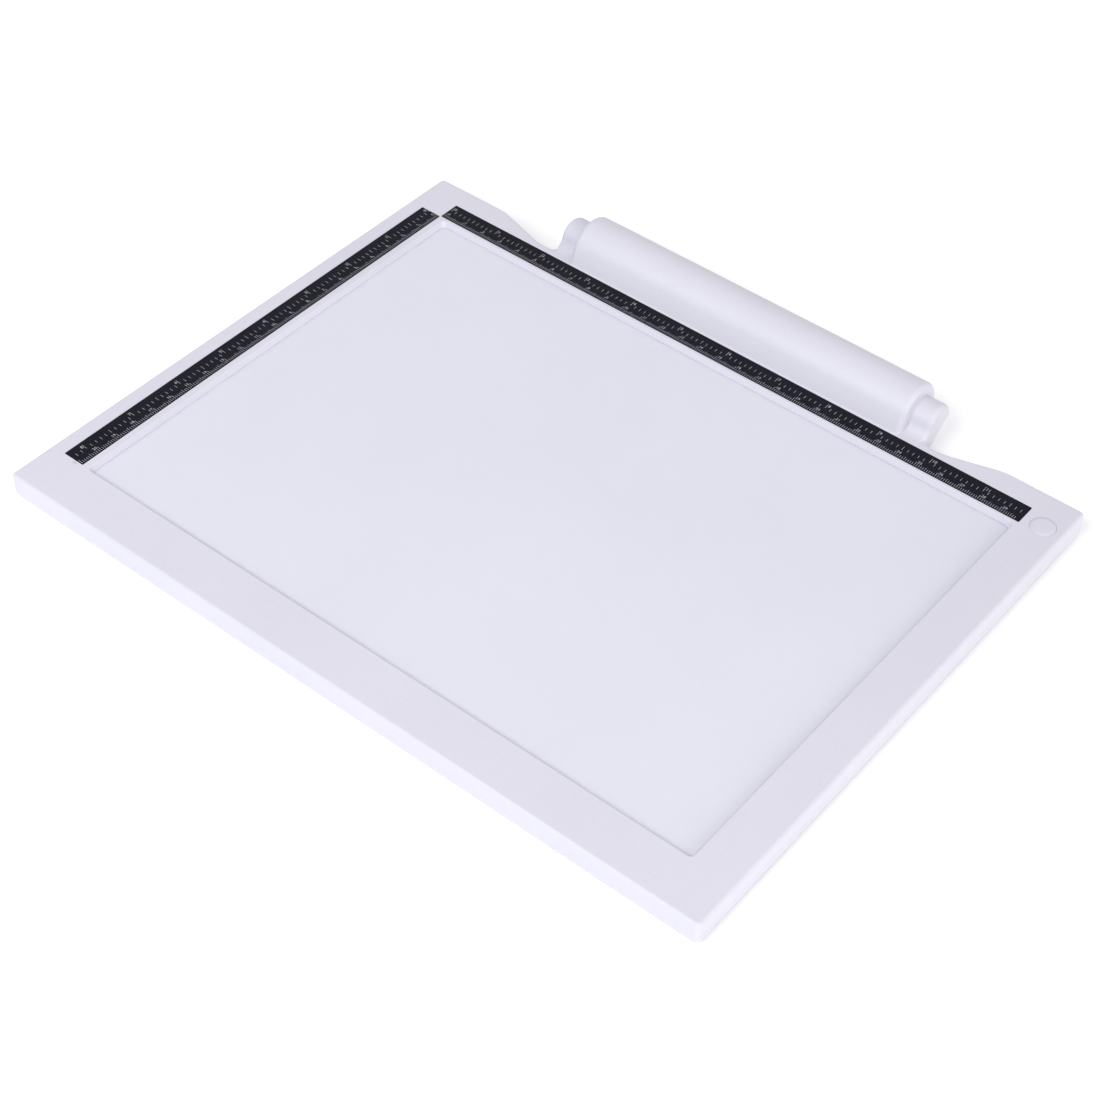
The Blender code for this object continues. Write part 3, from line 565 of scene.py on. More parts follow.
def board_outline(inset, softening=-1):
    """The board seen from above: a rectangle whose back edge steps in where the barrel stands."""
    side = SIDE - inset
    back = BACK - inset
    radius = max(CORNER + softening * inset, INNER_CORNER)
    half = [(side, FRONT + inset, radius, 16), (side, back, radius, 16),
            (NOTCH_OUTER, back, NOTCH_RADIUS - inset, 12),
            (NOTCH_INNER, NOTCH_BACK - inset, NOTCH_RADIUS + inset, 12)]
    mirrored = [(-x, y, bend, segments) for x, y, bend, segments in reversed(half)]
    return rounded(half + mirrored)


def underside_outline(inset):
    """The same outline with corners that grow rounder as it draws in."""
    return board_outline(inset, UNDERSIDE_SOFTENING)


def barrel_outline(inset):
    """The large part of the barrel and its web, seen along X: fillet, leaning flank, round and underside."""
    centre = Vector((BARREL_FOOT, TOP + BARREL_FILLET))
    apart = Vector((AXIS_Y, AXIS_Z)) - centre
    lean = math.degrees(math.atan2(apart.y, apart.x) + math.asin((BARREL + BARREL_FILLET) / apart.length))
    start = NOTCH_BACK - WALL - OVERLAP
    hollow = arc(tuple(centre), BARREL_FILLET + inset, -90, lean - 90, 10)
    crown = arc((AXIS_Y, AXIS_Z), BARREL - inset, lean + 90, -90, 80)
    return [(start, BOTTOM + inset + SUNK), (start, TOP - inset - SUNK)] + hollow + crown


def slope_axes():
    """Directions along the sloping underside of the ends and away from the barrel, seen along X."""
    along = Vector((math.cos(END_SLOPE), math.sin(END_SLOPE)))
    return along, Vector((along.y, -along.x))


def end_outline(inset):
    """One small end of the barrel and its web, seen along X, with its sloping underside."""
    radius = END - inset
    reach = math.sqrt((END + END_FILLET) ** 2 - (TOP + END_FILLET - AXIS_Z) ** 2)
    centre = (AXIS_Y - reach, TOP + END_FILLET)
    touch = math.degrees(math.atan2(AXIS_Z - centre[1], reach))
    start = NOTCH_BACK - WALL
    hollow = arc(centre, END_FILLET + inset, -90, touch, 10)
    offset = END_SLOPE_OFFSET - inset
    along, away = slope_axes()
    foot_of_axis = Vector((AXIS_Y, AXIS_Z)) + away * offset
    high = foot_of_axis + along * math.sqrt(radius ** 2 - offset ** 2)
    floor = BOTTOM + inset + 2 * SUNK
    low = foot_of_axis + along * (floor - foot_of_axis.y) / along.y
    rear = math.degrees(math.atan2(high.y - AXIS_Z, high.x - AXIS_Y))
    crown = arc((AXIS_Y, AXIS_Z), radius, touch + 180, rear, 48)
    return [(start, floor), (start, TOP - inset - 2 * SUNK)] + hollow + crown[1:] + [tuple(low)]


def mirrored_levels(half, radius, segments):
    """Levels from -half to +half along X, with both ends rounded."""
    levels = rounding(half, radius, 1, segments)
    return [(-x, offset) for x, offset in reversed(levels)] + levels


def barrel_hollow():
    """A cutter for the inside of the barrel and its two narrower ends."""
    big = BARREL - BARREL_WALL
    small = END_SLOPE_OFFSET - BARREL_WALL
    half = [(0.0, END_HALF - BARREL_WALL), (small, END_HALF - BARREL_WALL),
            (small, BARREL_HALF - BARREL_WALL), (big, BARREL_HALF - BARREL_WALL)]
    profile = half + [(radius, -x) for radius, x in reversed(half)]
    return turned("hollow", profile, 96, (0, AXIS_Y, AXIS_Z), "X")


def below_slope(name, low, high):
    """Everything beyond the sloping underside of the ends, between two X positions."""
    reach = 30
    along, away = slope_axes()
    near = Vector((AXIS_Y, AXIS_Z)) + away * (END_SLOPE_OFFSET - SUNK)
    outline = [near + along * reach, near - along * reach,
               near - along * reach + away * reach, near + along * reach + away * reach]
    return along_x(name, lambda inset: outline, [(low, 0), (high, 0)])


def neck_fillet(side):
    """The small concave ring where an end meets the large part."""
    reach = NECK_FILLET + 2 * SUNK
    ring = [(0, reach)]
    for angle in quarter_turn(6):
        ring.append((END + NECK_FILLET - reach * math.cos(angle), NECK_FILLET - reach * math.sin(angle)))
    ring += [(END + NECK_FILLET, -NECK_ROOT), (0, -NECK_ROOT)]
    if side < 0:
        ring = [(radius, -x) for radius, x in reversed(ring)]
    neck = turned("neck", ring, 96, (side * BARREL_HALF, AXIS_Y, AXIS_Z), "X")
    ends = sorted((side * (BARREL_HALF - OVERLAP), side * (BARREL_HALF + 5 * OVERLAP)))
    return carved(neck, below_slope("slope", *ends))


def gusset(side, levels):
    """The rounded corner, seen from above, between the board's back edge and one end of the barrel."""
    x = side * END_HALF
    hub = (x + side * END_GUSSET, NOTCH_BACK + END_GUSSET)
    start = 180 if side > 0 else 360
    root = 3                  # how far it reaches into the end and the board

    def outline(inset):
        hollow = arc(hub, END_GUSSET + inset + SUNK, start, 270, 8)
        return hollow + [(hub[0], NOTCH_BACK - root), (x - root * side, NOTCH_BACK - root),
                         (x - root * side, hub[1])]

    centre = (levels[0][0] + levels[-1][0]) / 2
    shrink = 1 - 6 * SUNK / (levels[-1][0] - levels[0][0])
    return stacked("gusset", outline, [(centre + (z - centre) * shrink, inset) for z, inset in levels])


def outer_body(name, levels, outline=board_outline):
    """Board, barrel, ends and webs as one solid."""
    body = stacked(name, outline, levels)
    large = along_x("large", barrel_outline, mirrored_levels(BARREL_HALF, BARREL_ROUND, 8))
    small = along_x("small", end_outline, mirrored_levels(END_HALF, END_ROUND, 8))
    return joined(body, large, small, neck_fillet(1), neck_fillet(-1), gusset(1, levels), gusset(-1, levels))


def window_outline(outset):
    low = PANEL_LOW.xy + Vector((BORDER - outset, BORDER - outset))
    high = PANEL_HIGH.xy - Vector((BORDER - outset, BORDER - outset))
    corners = [(low.x, low.y), (high.x, low.y), (high.x, high.y), (low.x, high.y)]
    return rounded([(x, y, WINDOW_CORNER, 8) for x, y in corners])


def window_cutter():
    """The opening over the panel: straight below, sloping walls above, and a rounded top edge."""
    levels = [(PARTING, -WINDOW_TAPER), (TOP - PLATE, -WINDOW_TAPER)]
    slope = WINDOW_TAPER / PLATE
    for angle in quarter_turn(5):
        height = TOP - WINDOW_EDGE * (1 - math.sin(angle))
        levels.append((height, (height - TOP) * slope + WINDOW_EDGE * (1 - math.cos(angle))))
    levels.append((TOP + 2 * OVERLAP, levels[-1][1]))
    return stacked("window", window_outline, levels)


def strip_outline(node, outset):
    low, high = edges(node)
    corners = [(low.x - outset, low.y - outset), (high.x + outset, low.y - outset),
               (high.x + outset, high.y + outset), (low.x - outset, high.y + outset)]
    return rounded([(x, y, STRIP_CORNER + outset, 8) for x, y in corners])


def strip_cutter(node):
    bottom = edges(node)[0].z - STRIP_GAP
    levels = [(bottom, STRIP_GAP), (TOP + OVERLAP, STRIP_GAP)]
    return stacked("recess", lambda outset: strip_outline(node, outset), levels)


def screw_hole(x, y):
    """A stepped cutter for a screw's shank and sunk head, with a rounded mouth underneath."""
    step = BOTTOM + HEAD_HOLE_DEPTH
    mouth = (HEAD_HOLE_RADIUS + HEAD_HOLE_EDGE, BOTTOM + HEAD_HOLE_EDGE)
    profile = [(0, SHANK_HOLE_TOP), (SHANK_HOLE_RADIUS, SHANK_HOLE_TOP), (SHANK_HOLE_RADIUS, step),
               (HEAD_HOLE_RADIUS, step), (HEAD_HOLE_RADIUS, mouth[1])]
    profile += [(mouth[0] + u, mouth[1] + v) for u, v in arc((0, 0), HEAD_HOLE_EDGE, 180, 270, 4)][1:]
    profile += [(mouth[0], 0), (0, 0)]
    return turned("screw_hole", profile, 40, (x, y, 0))


def flared_hole(name, place, radius, depth, edge, axis="Z", steps=64):
    """A round cutter whose mouth at place is rounded outwards by edge."""
    outside = 1.5
    profile = [(0, outside), (radius + edge, outside)]
    for angle in quarter_turn(5):
        profile.append((radius + edge * (1 - math.sin(angle)), -edge * (1 - math.cos(angle))))
    profile += [(radius, -depth), (0, -depth)]
    return turned(name, profile, steps, place, axis)


def passage():
    """A cutter for the way of the leads, from the barrel into the board."""
    return rod("passage", (83.4, 105, 9.0), length=10, radius=1.8, axis="Y", steps=24)


def screw_spots():
    return [middle("screw_%d" % (index + 1)).xy for index in range(SCREWS)]


def end_block(side, low, high):
    """Everything around one end of the barrel between two heights."""
    near, far = sorted((side * (BARREL_HALF + SEAM / 2), side * (END_HALF + END_GUSSET + 2 * OVERLAP)))
    return block("end_block", (near, BARREL_SEAM_Y - SUNK, low), (far, BEYOND, high))


def make_frame_shell():
    low = PARTING + SEAM
    levels = [(low, SEAM_ROUND), (low + SEAM_ROUND, 0.0)] + rounding(TOP, TOP_ROUND, 1, 6)
    shell = outer_body("frame_shell", levels)
    step_x = BARREL_HALF + 2 * SEAM
    seam = block("seam", (-step_x, BARREL_SEAM_Y, BELOW), (step_x, BEYOND, AXIS_Z + SEAM))
    under = block("under", (-BEYOND, -BEYOND, BELOW), (BEYOND, BARREL_SEAM_Y + OVERLAP, low))
    pocket = stacked("pocket", board_outline, [(0, WALL), (TOP - PLATE, WALL)])
    shell = carved(shell, seam, under, pocket, window_cutter(), barrel_hollow(),
                   end_block(-1, BELOW, low), end_block(1, BELOW, low))
    bosses = []
    pilots = []
    foot = BOTTOM + FLOOR + BOSS_GAP
    for x, y in screw_spots():
        bosses.append(rod("boss", (x, y, foot), TOP - BOSS_CAP - foot, BOSS_RADIUS, "Z", 32))
        pilots.append(rod("pilot", (x, y, 0), PILOT_TOP, PILOT_RADIUS, "Z", 24))
    shell = joined(shell, *bosses)
    holes = [flared_hole("button_hole", (BUTTON.x, BUTTON.y, TOP),
                         BUTTON_HOLE_RADIUS, BUTTON_HOLE_DEPTH, BUTTON_HOLE_EDGE),
             flared_hole("socket_hole", (SOCKET.x, BACK, SOCKET_Z),
                         SOCKET_HOLE_RADIUS, SOCKET_HOLE_DEPTH, SOCKET_HOLE_EDGE, "Y"),
             passage()]
    return carved(shell, *pilots, *holes, strip_cutter("ruler_top"), strip_cutter("ruler_left"))


def make_back_shell():
    high = PARTING - SEAM
    cut = high + SUNK
    levels = rounding(BOTTOM, BOTTOM_ROUND, -1, 10)[::-1] + [(high - SEAM_ROUND, 0.0), (high, SEAM_ROUND)]
    shell = outer_body("back_shell", levels, underside_outline)
    seam_y = BARREL_SEAM_Y + 2 * SEAM
    above = block("above", (-BEYOND, seam_y - OVERLAP, AXIS_Z - SEAM), (BEYOND, BEYOND, ABOVE))
    front = block("front", (-BEYOND, -BEYOND, cut), (BEYOND, seam_y, ABOVE))
    pocket = stacked("pocket", board_outline, [(BOTTOM + FLOOR, WALL), (POCKET_TOP, WALL)])
    shell = carved(shell, above, front, pocket, barrel_hollow(), door_mouth(),
                   end_block(-1, cut, ABOVE), end_block(1, cut, ABOVE))
    ears = []
    holes = []
    half = DOOR_HALF + GAP
    for side in (-1, 1):
        start = half + SUNK if side > 0 else -half - SUNK - EAR_LENGTH
        ears.append(rod("ear", (start, HINGE.y, HINGE.z), EAR_LENGTH, EAR_RADIUS, "X", 32))
        start = half - OVERLAP if side > 0 else -half + OVERLAP - EAR_HOLE_LENGTH
        holes.append(rod("ear_hole", (start, HINGE.y, HINGE.z), EAR_HOLE_LENGTH, EAR_HOLE_RADIUS, "X", 24))
    shell = joined(shell, *ears)
    holes += [screw_hole(x, y) for x, y in screw_spots()]
    return carved(shell, *holes, passage())


def door_mouth():
    """A cutter for the opening that the door closes."""
    bottom = math.radians(DOOR_BOTTOM_ANGLE - MOUTH_MARGIN)
    top = AXIS_Z + MOUTH_TOP
    outline = [(AXIS_Y + MOUTH_DEPTH, top), (AXIS_Y + MOUTH_REACH, top), (AXIS_Y + MOUTH_REACH, AXIS_Z - MOUTH_REACH)]
    outline += [(AXIS_Y + reach * math.cos(bottom), AXIS_Z + reach * math.sin(bottom))
                for reach in (MOUTH_REACH, MOUTH_DEPTH)]
    half = DOOR_HALF + GAP
    return along_x("mouth", lambda inset: outline, [(-half, 0), (half, 0)])


def make_door_shell():
    """The door: an arc of the barrel's wall with rounded side edges, a hinge bead, pins and a finger grip."""
    def outline(inset):
        axis = (AXIS_Y, AXIS_Z)
        outer = arc(axis, BARREL - inset, DOOR_BOTTOM_ANGLE, DOOR_TOP_ANGLE, 32)
        inner = arc(axis, BARREL - DOOR_WALL, DOOR_TOP_ANGLE + DOOR_LIP, DOOR_BOTTOM_ANGLE, 32)
        return outer + inner

    door = along_x("door_shell", outline, mirrored_levels(DOOR_HALF, DOOR_ROUND, 4))
    bead_half = DOOR_HALF - 2 * SUNK
    bead = rod("bead", (-bead_half, HINGE.y, HINGE.z), 2 * bead_half, BEAD_RADIUS, "X", 32)
    pins = rod("pins", (DOOR_LOW.x, HINGE.y, HINGE.z), DOOR_HIGH.x - DOOR_LOW.x, PIN_RADIUS, "X", 24)
    door = joined(door, bead, pins)
    grips = []
    reach = BARREL + GROOVE_OFFSET
    for index in range(GROOVES):
        angle = math.radians(DOOR_BOTTOM_ANGLE + GROOVE_START + GROOVE_PITCH * index)
        length = GROOVE_LENGTH - index * GROOVE_TAPER
        start = (-length / 2, AXIS_Y + reach * math.cos(angle), AXIS_Z + reach * math.sin(angle))
        grips.append(rod("grip", start, length, GROOVE_RADIUS, "X", 24))
    return carved(door, *grips)


def make_button():
    """The cap: a flat crown, a sloping rim with a rounded edge, and a flange under the frame's plate."""
    top = BUTTON_HIGH.z
    rim = top - CAP_DROP - CAP_RIM
    flange = BUTTON_LOW.z + FLANGE
    profile = [(0, top)] + [(CAP_CROWN + outwards, top + up) for outwards, up in CAP_SHOULDER]
    profile += [(CAP_RADIUS - CAP_RIM + x, rim + y) for x, y in arc((0, 0), CAP_RIM, 75, 0, 5)]
    profile += [(CAP_RADIUS, flange), (FLANGE_RADIUS, flange), (FLANGE_RADIUS, BUTTON_LOW.z), (0, BUTTON_LOW.z)]
    return turned("power_cap", profile, 96, (BUTTON.x, BUTTON.y, 0))


# Rulers, with distances across a strip measured outwards from its inner edge

INK_DEPTH = 0.05
INK_SUNK = 0.02           # how far the print reaches into the film
LINE = 0.13
FIGURE_WIDTH = 1.0        # room that one figure takes
FIGURE_THINNING = 0.02
TOP_ZERO = 1.0            # from a strip's end to its first mark
LEFT_ZERO = 0.4
CM_START = 0.45           # where the centimetre marks start
CM_WHOLE = 2.6            # their lengths
CM_HALF = 2.0
CM_TENTH = 1.5
CM_NUMBER = (2.55, 2.0, 0.35)     # a number's foot, its size and its distance from its mark
INCH_TENTH = 2.54
INCH_WHOLE = (5.7, 8.6)   # where the inch marks start and end
INCH_HALF = (5.0, 7.2)
INCH_SHORT = (5.0, 6.7)
INCH_NUMBER = (6.9, 2.2, 0.45)


class Scale:
    """Lays marks on a strip: along it from zero, and across it from its inner edge outwards."""

    def __init__(self, node, along, across, zero, reading):
        self.along = Vector((*along, 0))
        self.across = Vector((*across, 0))
        self.origin = Vector((*zero, 0))
        self.reading = Vector((*reading, 0))
        self.forward = reading == along
        self.height = edges(node)[1].z + INK_DEPTH / 2 - INK_SUNK
        self.bm = bmesh.new()

    def placed(self, place, outwards, direction):
        """A matrix for a mark that lies in a direction on the strip."""
        point = self.origin + self.along * place + self.across * outwards
        axes = Matrix((direction, self.across, Vector((0, 0, 1)))).transposed().to_4x4()
        return Matrix.Translation((point.x, point.y, self.height)) @ axes

    def tick(self, place, start, end):
        """A thin bar across the strip."""
        size = Matrix.Diagonal((LINE, end - start, INK_DEPTH, 1))
        bmesh.ops.create_cube(self.bm, size=1.0, matrix=self.placed(place, (start + end) / 2, self.along) @ size)

    def number(self, value, place, foot, size, gap):
        """A number beside the mark at place."""
        curve = bpy.data.curves.new("number", "FONT")
        curve.body = str(value)
        curve.size = size
        curve.extrude = INK_DEPTH / 2
        curve.resolution_u = 3
        curve.offset = -FIGURE_THINNING
        curve.align_x = "LEFT"
        mesh = curve_mesh("number", curve)
        shift = gap if self.forward else gap + FIGURE_WIDTH * len(str(value))
        mesh.transform(self.placed(place + shift, foot, self.reading))
        self.bm.from_mesh(mesh)
        bpy.data.meshes.remove(mesh)

    def finish(self, name):
        bmesh.ops.remove_doubles(self.bm, verts=self.bm.verts, dist=0.0005)
        return from_bmesh(name, self.bm)


def print_scale(name, node, along, across, zero, reading, centimetres, inches):
    """Centimetres along the inner edge and inches towards the outer edge."""
    scale = Scale(node, along, across, zero, reading)
    for step in range(int(centimetres * 10) + 1):
        length = CM_WHOLE if step % 10 == 0 else CM_HALF if step % 5 == 0 else CM_TENTH
        scale.tick(step, CM_START, CM_START + length)
        if step % 10 == 0:
            scale.number(step // 10, step, *CM_NUMBER)
    for step in range(int(inches * 10) + 1):
        place = step * INCH_TENTH
        if step % 10 == 0:
            scale.tick(place, *INCH_WHOLE)
            scale.number(step // 10, place, *INCH_NUMBER)
        else:
            scale.tick(place, *(INCH_HALF if step % 5 == 0 else INCH_SHORT))
    return scale.finish(name)


def make_strip(name, node):
    low, high = edges(node)
    levels = [(low.z, 0.0)] + rounding(high.z, STRIP_EDGE, 1, 3)
    return stacked(name, lambda inset: strip_outline(node, -inset), levels)


# Small parts

def below_middle(node):
    """The point on the table under the middle of a CAD node."""
    low, high = edges(node)
    return ((low.x + high.x) / 2, (low.y + high.y) / 2, 0)


def make_screw(index):
    """A pan-headed screw with a cross recess in its head, head downwards."""
    node = "screw_%d" % index
    low, high = edges(node)
    place = below_middle(node)
    radius = (high.x - low.x) / 2
    head = low.z
    tip, core, shank = 0.25, 0.86, 1.05     # radii
    point = high.z - 1.2                    # height where the point starts
    threads = 9
    pitch = (point - (head + 1.3)) / threads
    profile = [(0, high.z), (tip, high.z)]
    for turn in range(threads):
        top = point - turn * pitch
        profile += [(shank, top), (core, top - pitch * 0.35), (core, top - pitch * 0.65)]
    bearing = head + 0.8
    rim = 0.45
    profile += [(shank, head + 1.0), (shank, bearing), (radius - 0.05, bearing)]
    profile += [(radius - rim + x, head + rim + y) for x, y in arc((0, 0), rim, 0, -90, 5)]
    profile += [(0, head)]
    screw = turned("fastener_%d" % index, profile, 40, place)
    slot = (1.25, 0.27)                     # half sizes of one bar of the cross
    depth = 0.55
    bars = [block("recess", (place[0] - x, place[1] - y, head - OVERLAP), (place[0] + x, place[1] + y, head + depth))
            for x, y in (slot, slot[::-1])]
    return carved(screw, *bars)


def make_foot(index):
    """A rubber foot with a rounded rim and a shallow ring in its face."""
    node = "foot_%d" % index
    low, high = edges(node)
    radius = (high.x - low.x) / 2
    bevel = 0.1
    rim = 0.5
    ring = ((1.6, 0), (1.8, 0.18), (2.4, 0.18), (2.6, 0))     # steps in from the edge and up
    profile = [(0, high.z), (radius - bevel, high.z), (radius, high.z - bevel), (radius, low.z + rim)]
    profile += [(radius - rim + x, low.z + rim + y) for x, y in arc((0, 0), rim, 0, -90, 6)][1:]
    profile += [(radius - inwards, low.z + up) for inwards, up in ring] + [(0, low.z)]
    return turned("rubber_foot_%d" % index, profile, 72, below_middle(node))


def make_cell(index):
    """An AA cell lying along X: a nub, a crimped sleeve with a groove, and a base."""
    node = "cell_%d" % index
    low, high = edges(node)
    radius = (high.z - low.z) / 2
    half = (high.x - low.x) / 2
    body = half - 1.2
    crimp = body + 0.25
    bend = 0.5
    groove = radius - 0.14
    dish = 0.2 - half
    profile = [(0, half), (2.2, half), (2.7, half - 0.3), (2.7, body), (radius - 1.1, body)]
    profile += [(radius - 0.9, crimp), (radius - 0.45, crimp)]
    profile += [(radius - bend + x, body - 0.4 + y) for x, y in arc((0, 0), bend, 80, 0, 5)]
    profile += [(radius, body - 1.6), (groove, body - 1.8), (groove, body - 2.1), (radius, body - 2.3)]
    profile += [(radius - bend + x, bend - half + y) for x, y in arc((0, 0), bend, 0, -90, 5)]
    profile += [(radius - 1.6, -half), (radius - 1.9, dish), (0, dish)]
    return turned("cell_body_%d" % index, profile, 72, (middle(node).x, AXIS_Y, AXIS_Z), "X")


def bare_metal(cell, node, finish):
    """Give the ends of a cell, which its sleeve leaves bare, their own material."""
    sleeve = 0.7              # how far in from the edge the sleeve reaches
    cell.data.materials.append(finish)
    low, high = edges(node)
    radius = (high.z - low.z) / 2
    for face in cell.data.polygons:
        centre = face.center / MM
        if math.hypot(centre.y - AXIS_Y, centre.z - AXIS_Z) < radius - sleeve:
            face.material_index = 1


def make_spring():
    """The conical contact spring at the end of the cells."""
    low, high = edges("contact_spring")
    wire = 0.35
    narrow = 2.4
    widening = 2.8
    turns = 4
    curve = bpy.data.curves.new("contact_coil", "CURVE")
    curve.dimensions = "3D"
    curve.bevel_depth = wire * MM
    curve.bevel_resolution = 3
    curve.use_fill_caps = True
    steps = turns * 32
    start = low.x + wire
    length = high.x - low.x - 2 * wire
    spline = curve.splines.new("POLY")
    spline.points.add(steps)
    for step in range(steps + 1):
        along = step / steps
        radius = narrow + widening * along
        angle = 2 * math.pi * turns * along
        across = (AXIS_Y + radius * math.cos(angle), AXIS_Z + radius * math.sin(angle))
        spline.points[step].co = (*(Vector((start + length * along, *across)) * MM), 1.0)
    mesh = curve_mesh("contact_coil_curve", curve)
    bm = bmesh.new()
    bm.from_mesh(mesh)
    bmesh.ops.remove_doubles(bm, verts=bm.verts, dist=1e-6)
    bm.to_mesh(mesh)
    bm.free()
    return add_object("contact_coil", mesh)


def make_jack():
    """The power socket: a body with rounded edges and a bored mouth."""
    low, high = SOCKET_LOW, SOCKET_HIGH
    corner = 0.8
    edge = 0.3
    back = 1.5                # thickness behind the bore

    def outline(inset):
        corners = [(low.x, low.z), (high.x, low.z), (high.x, high.z), (low.x, high.z)]
        return rounded([(x + inset * (1 if x < SOCKET.x else -1), z + inset * (1 if z < SOCKET.z else -1), corner, 6)
                        for x, z in corners])

    levels = [(low.y, 0.0)] + rounding(high.y, edge, 1, 4)
    jack = lofted("power_jack", [[(x, y, z) for x, z in outline(inset)] for y, inset in levels])
    bore = flared_hole("jack_bore", (SOCKET.x, high.y, SOCKET_Z), JACK_BORE_RADIUS,
                       high.y - low.y - back, edge, "Y", 48)
    return carved(jack, bore)


def make_jack_pin():
    """The pin in the middle of the socket, with a rounded tip."""
    length = SOCKET_HIGH.y - SOCKET_LOW.y - 2.6
    radius = 0.6
    tip = 0.3
    profile = [(0, length / 2)]
    profile += [(radius - tip + x, length / 2 - tip + y) for x, y in arc((0, 0), tip, 90, 0, 5)]
    profile += [(radius, -length / 2), (0, -length / 2)]
    place = (SOCKET.x, SOCKET_LOW.y + JACK_PIN_START + length / 2, SOCKET_Z)
    return turned("power_jack_pin", profile, 32, place, "Y")


# The whole object

def make_finishes():
    """Every material, by the name that the pieces below use."""
    return {
        "white": white_abs(),
        "steel": plated_steel(),
        "black": speckled("moulded_black", (0.016, 0.016, 0.018), (0.028, 0.028, 0.031), (0.42, 0.6), 0.01),
        "rubber": speckled("grey_rubber", (0.17, 0.17, 0.18), (0.24, 0.24, 0.25), (0.78, 0.95), 0.004,
                           0.0003, 0.00002),
        "film": ruler_film(),
        "ink": ruler_ink(),
        "board": circuit_board(),
        "wrap": cell_wrap(),
        "opal": milky_acrylic(),
        "clear": speckled("clear_acrylic", (0.80, 0.84, 0.86), (0.86, 0.89, 0.90), (0.08, 0.2), 0.03,
                          Transmission_Weight=0.9, IOR=1.49),
        "sheet": speckled("white_film", (0.78, 0.78, 0.80), (0.84, 0.84, 0.86), (0.5, 0.7), 0.03),
        "red": speckled("red_wire", (0.36, 0.012, 0.012), (0.46, 0.02, 0.02), (0.4, 0.6), 0.004),
        "dark": speckled("black_wire", (0.016, 0.016, 0.016), (0.03, 0.03, 0.03), (0.4, 0.6), 0.004),
    }


def make_mouldings(finish):
    white = finish["white"]
    finish_surface(dress(make_frame_shell(), white, "board", "white_abs", "top_frame"))
    finish_surface(dress(make_back_shell(), white, "board", "white_abs", "back_cover"))
    finish_surface(dress(make_door_shell(), white, "door", "white_abs", "battery_door"))
    finish_surface(dress(make_button(), white, "button", "white_abs", "power_button"))


def make_rulers(finish):
    film = finish["film"]
    finish_surface(dress(make_strip("film_top", "ruler_top"), film, "board", "black_film", "ruler_top"))
    finish_surface(dress(make_strip("film_left", "ruler_left"), film, "board", "black_film", "ruler_left"))
    top_low = edges("ruler_top")[0]
    left_high = edges("ruler_left")[1]
    top_print = print_scale("print_top", "ruler_top", (1, 0), (0, 1), (top_low.x + TOP_ZERO, top_low.y),
                            (1, 0), centimetres=29.7, inches=11.7)
    left_print = print_scale("print_left", "ruler_left", (0, -1), (-1, 0), (left_high.x, left_high.y - LEFT_ZERO),
                             (0, 1), centimetres=21.0, inches=8.2)
    dress(top_print, finish["ink"], "board", "black_film")
    dress(left_print, finish["ink"], "board", "black_film")


def make_small_parts(finish):
    steel = finish["steel"]
    for index in range(1, SCREWS + 1):
        finish_surface(dress(make_screw(index), steel, "board", "steel", "screw_%d" % index))
    for index in range(1, FEET + 1):
        finish_surface(dress(make_foot(index), finish["rubber"], "board", "rubber", "foot_%d" % index))
    for index in range(1, CELLS + 1):
        node = "cell_%d" % index
        cell = finish_surface(dress(make_cell(index), finish["wrap"], "board", "cell_wrap", node))
        bare_metal(cell, node, steel)
    finish_surface(dress(make_spring(), steel, "board", "steel", "contact_spring"))
    finish_surface(dress(make_jack(), finish["black"], "board", "black_plastic", "dc_socket"))
    finish_surface(dress(make_jack_pin(), steel, "board", "steel"))


KEPT = {"drawing_panel": "opal", "light_guide": "clear", "diffuser_film": "sheet", "reflector_sheet": "sheet",
        "panel_carrier": "white", "led_strip": "board", "control_board": "board", "switch_body": "black",
        "switch_plunger": "black", "battery_tray": "black", "contact_plate": "steel", "lead_positive": "red",
        "lead_negative": "dark", "led_lead": "dark"}


def dress_kept_nodes(finish):
    """Materials for the CAD meshes that stay as they are."""
    for name, material in KEPT.items():
        node = frame["nodes"][name]
        node.data.materials.clear()
        node.data.materials.append(finish[material])
        finish_surface(node)


def make_object():
    finish = make_finishes()
    make_mouldings(finish)
    make_rulers(finish)
    make_small_parts(finish)
    dress_kept_nodes(finish)


# Stage

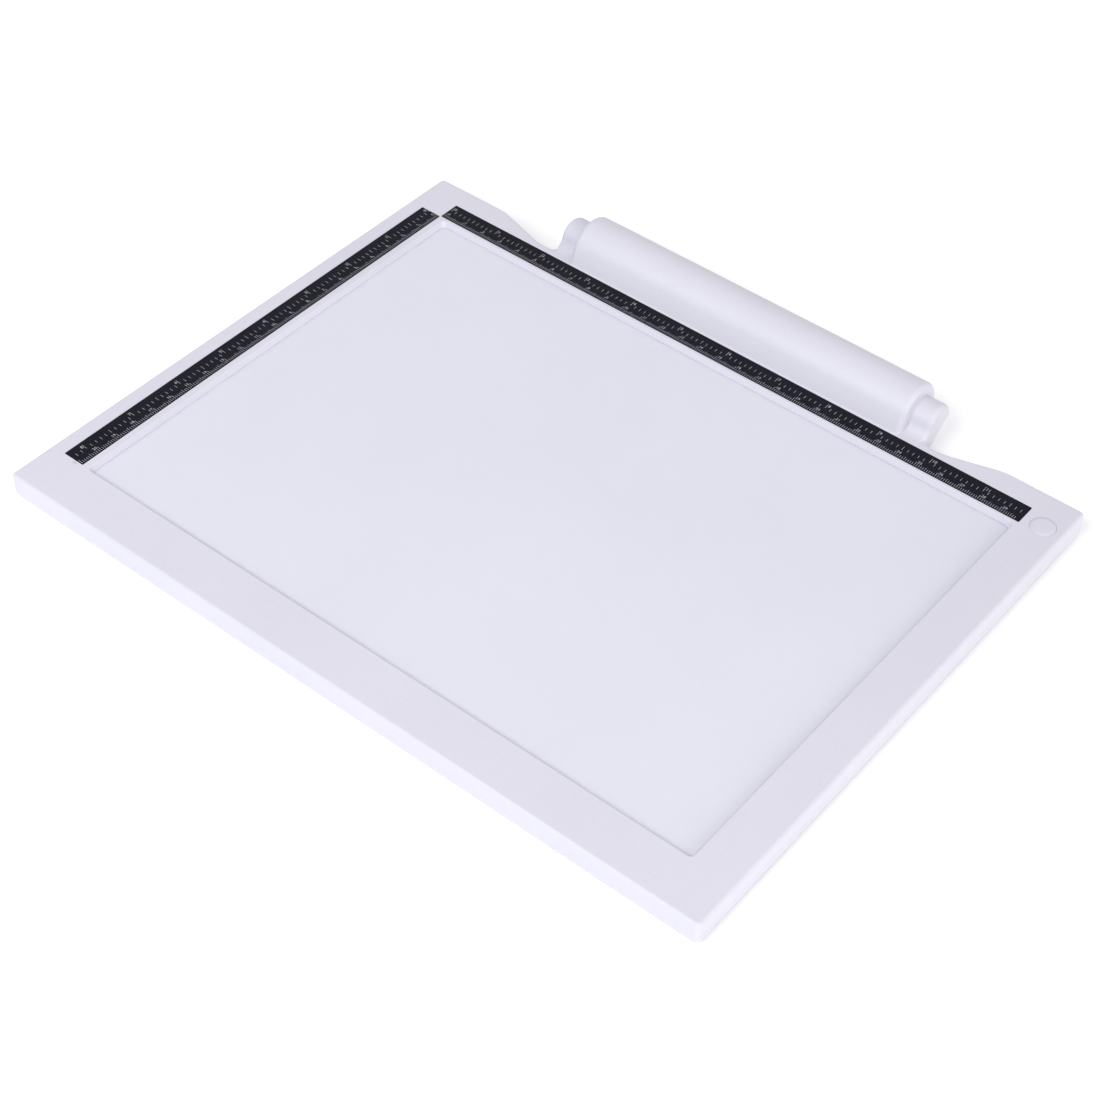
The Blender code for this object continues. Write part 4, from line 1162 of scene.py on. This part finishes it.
CAMERA_PLACE = (0.40101, -0.50558, 0.63093)
CAMERA_AZIMUTH = 35.35
CAMERA_ELEVATION = 45.46
CAMERA_ROLL = 3.323
CAMERA_LENS = 74.06
CAMERA_SHIFT = (-0.0898, 0.0010)
FLOOR_HALF = 4000.0
SKY = 0.70


def make_camera():
    data = bpy.data.cameras.new("camera")
    data.lens = CAMERA_LENS
    data.sensor_width = 36.0
    data.shift_x = CAMERA_SHIFT[0]
    data.shift_y = CAMERA_SHIFT[1]
    camera = add_object("camera", data)
    turn = (Matrix.Rotation(math.radians(CAMERA_AZIMUTH), 4, "Z")
            @ Matrix.Rotation(math.radians(90 - CAMERA_ELEVATION), 4, "X")
            @ Matrix.Rotation(math.radians(CAMERA_ROLL), 4, "Z"))
    camera.matrix_world = Matrix.Translation(CAMERA_PLACE) @ turn
    bpy.context.scene.camera = camera


def add_light(name, place, size, power, colour=(1, 1, 1)):
    """A square soft light aimed at the object."""
    data = bpy.data.lights.new(name, "AREA")
    data.shape = "SQUARE"
    data.size = size
    data.energy = power
    data.color = colour
    light = add_object(name, data)
    light.location = place
    light.rotation_mode = "QUATERNION"
    light.rotation_quaternion = (-Vector(place)).to_track_quat("-Z", "Y")


def make_stage():
    bm = bmesh.new()
    bmesh.ops.create_grid(bm, x_segments=2, y_segments=2, size=FLOOR_HALF)
    ground = from_bmesh("ground", bm)
    surface = speckled("pale_floor", (0.94, 0.94, 0.95), (0.96, 0.96, 0.97), (0.7, 0.8), 0.3,
                       Emission_Color=(1, 1, 1, 1), Emission_Strength=0.15)
    ground.data.materials.append(surface)
    world = bpy.data.worlds.new("studio")
    world.use_nodes = True
    background = world.node_tree.nodes["Background"]
    background.inputs["Color"].default_value = (1, 1, 1, 1)
    background.inputs["Strength"].default_value = SKY
    bpy.context.scene.world = world
    add_light("key", place=(-0.10, -1.0, 1.05), size=0.8, power=9.6)
    add_light("right_fill", place=(3.2, -0.4, 1.0), size=2.0, power=42.0, colour=(1.0, 0.985, 0.92))
    bpy.context.scene.view_settings.view_transform = "Standard"


make_camera()
make_object()
make_stage()
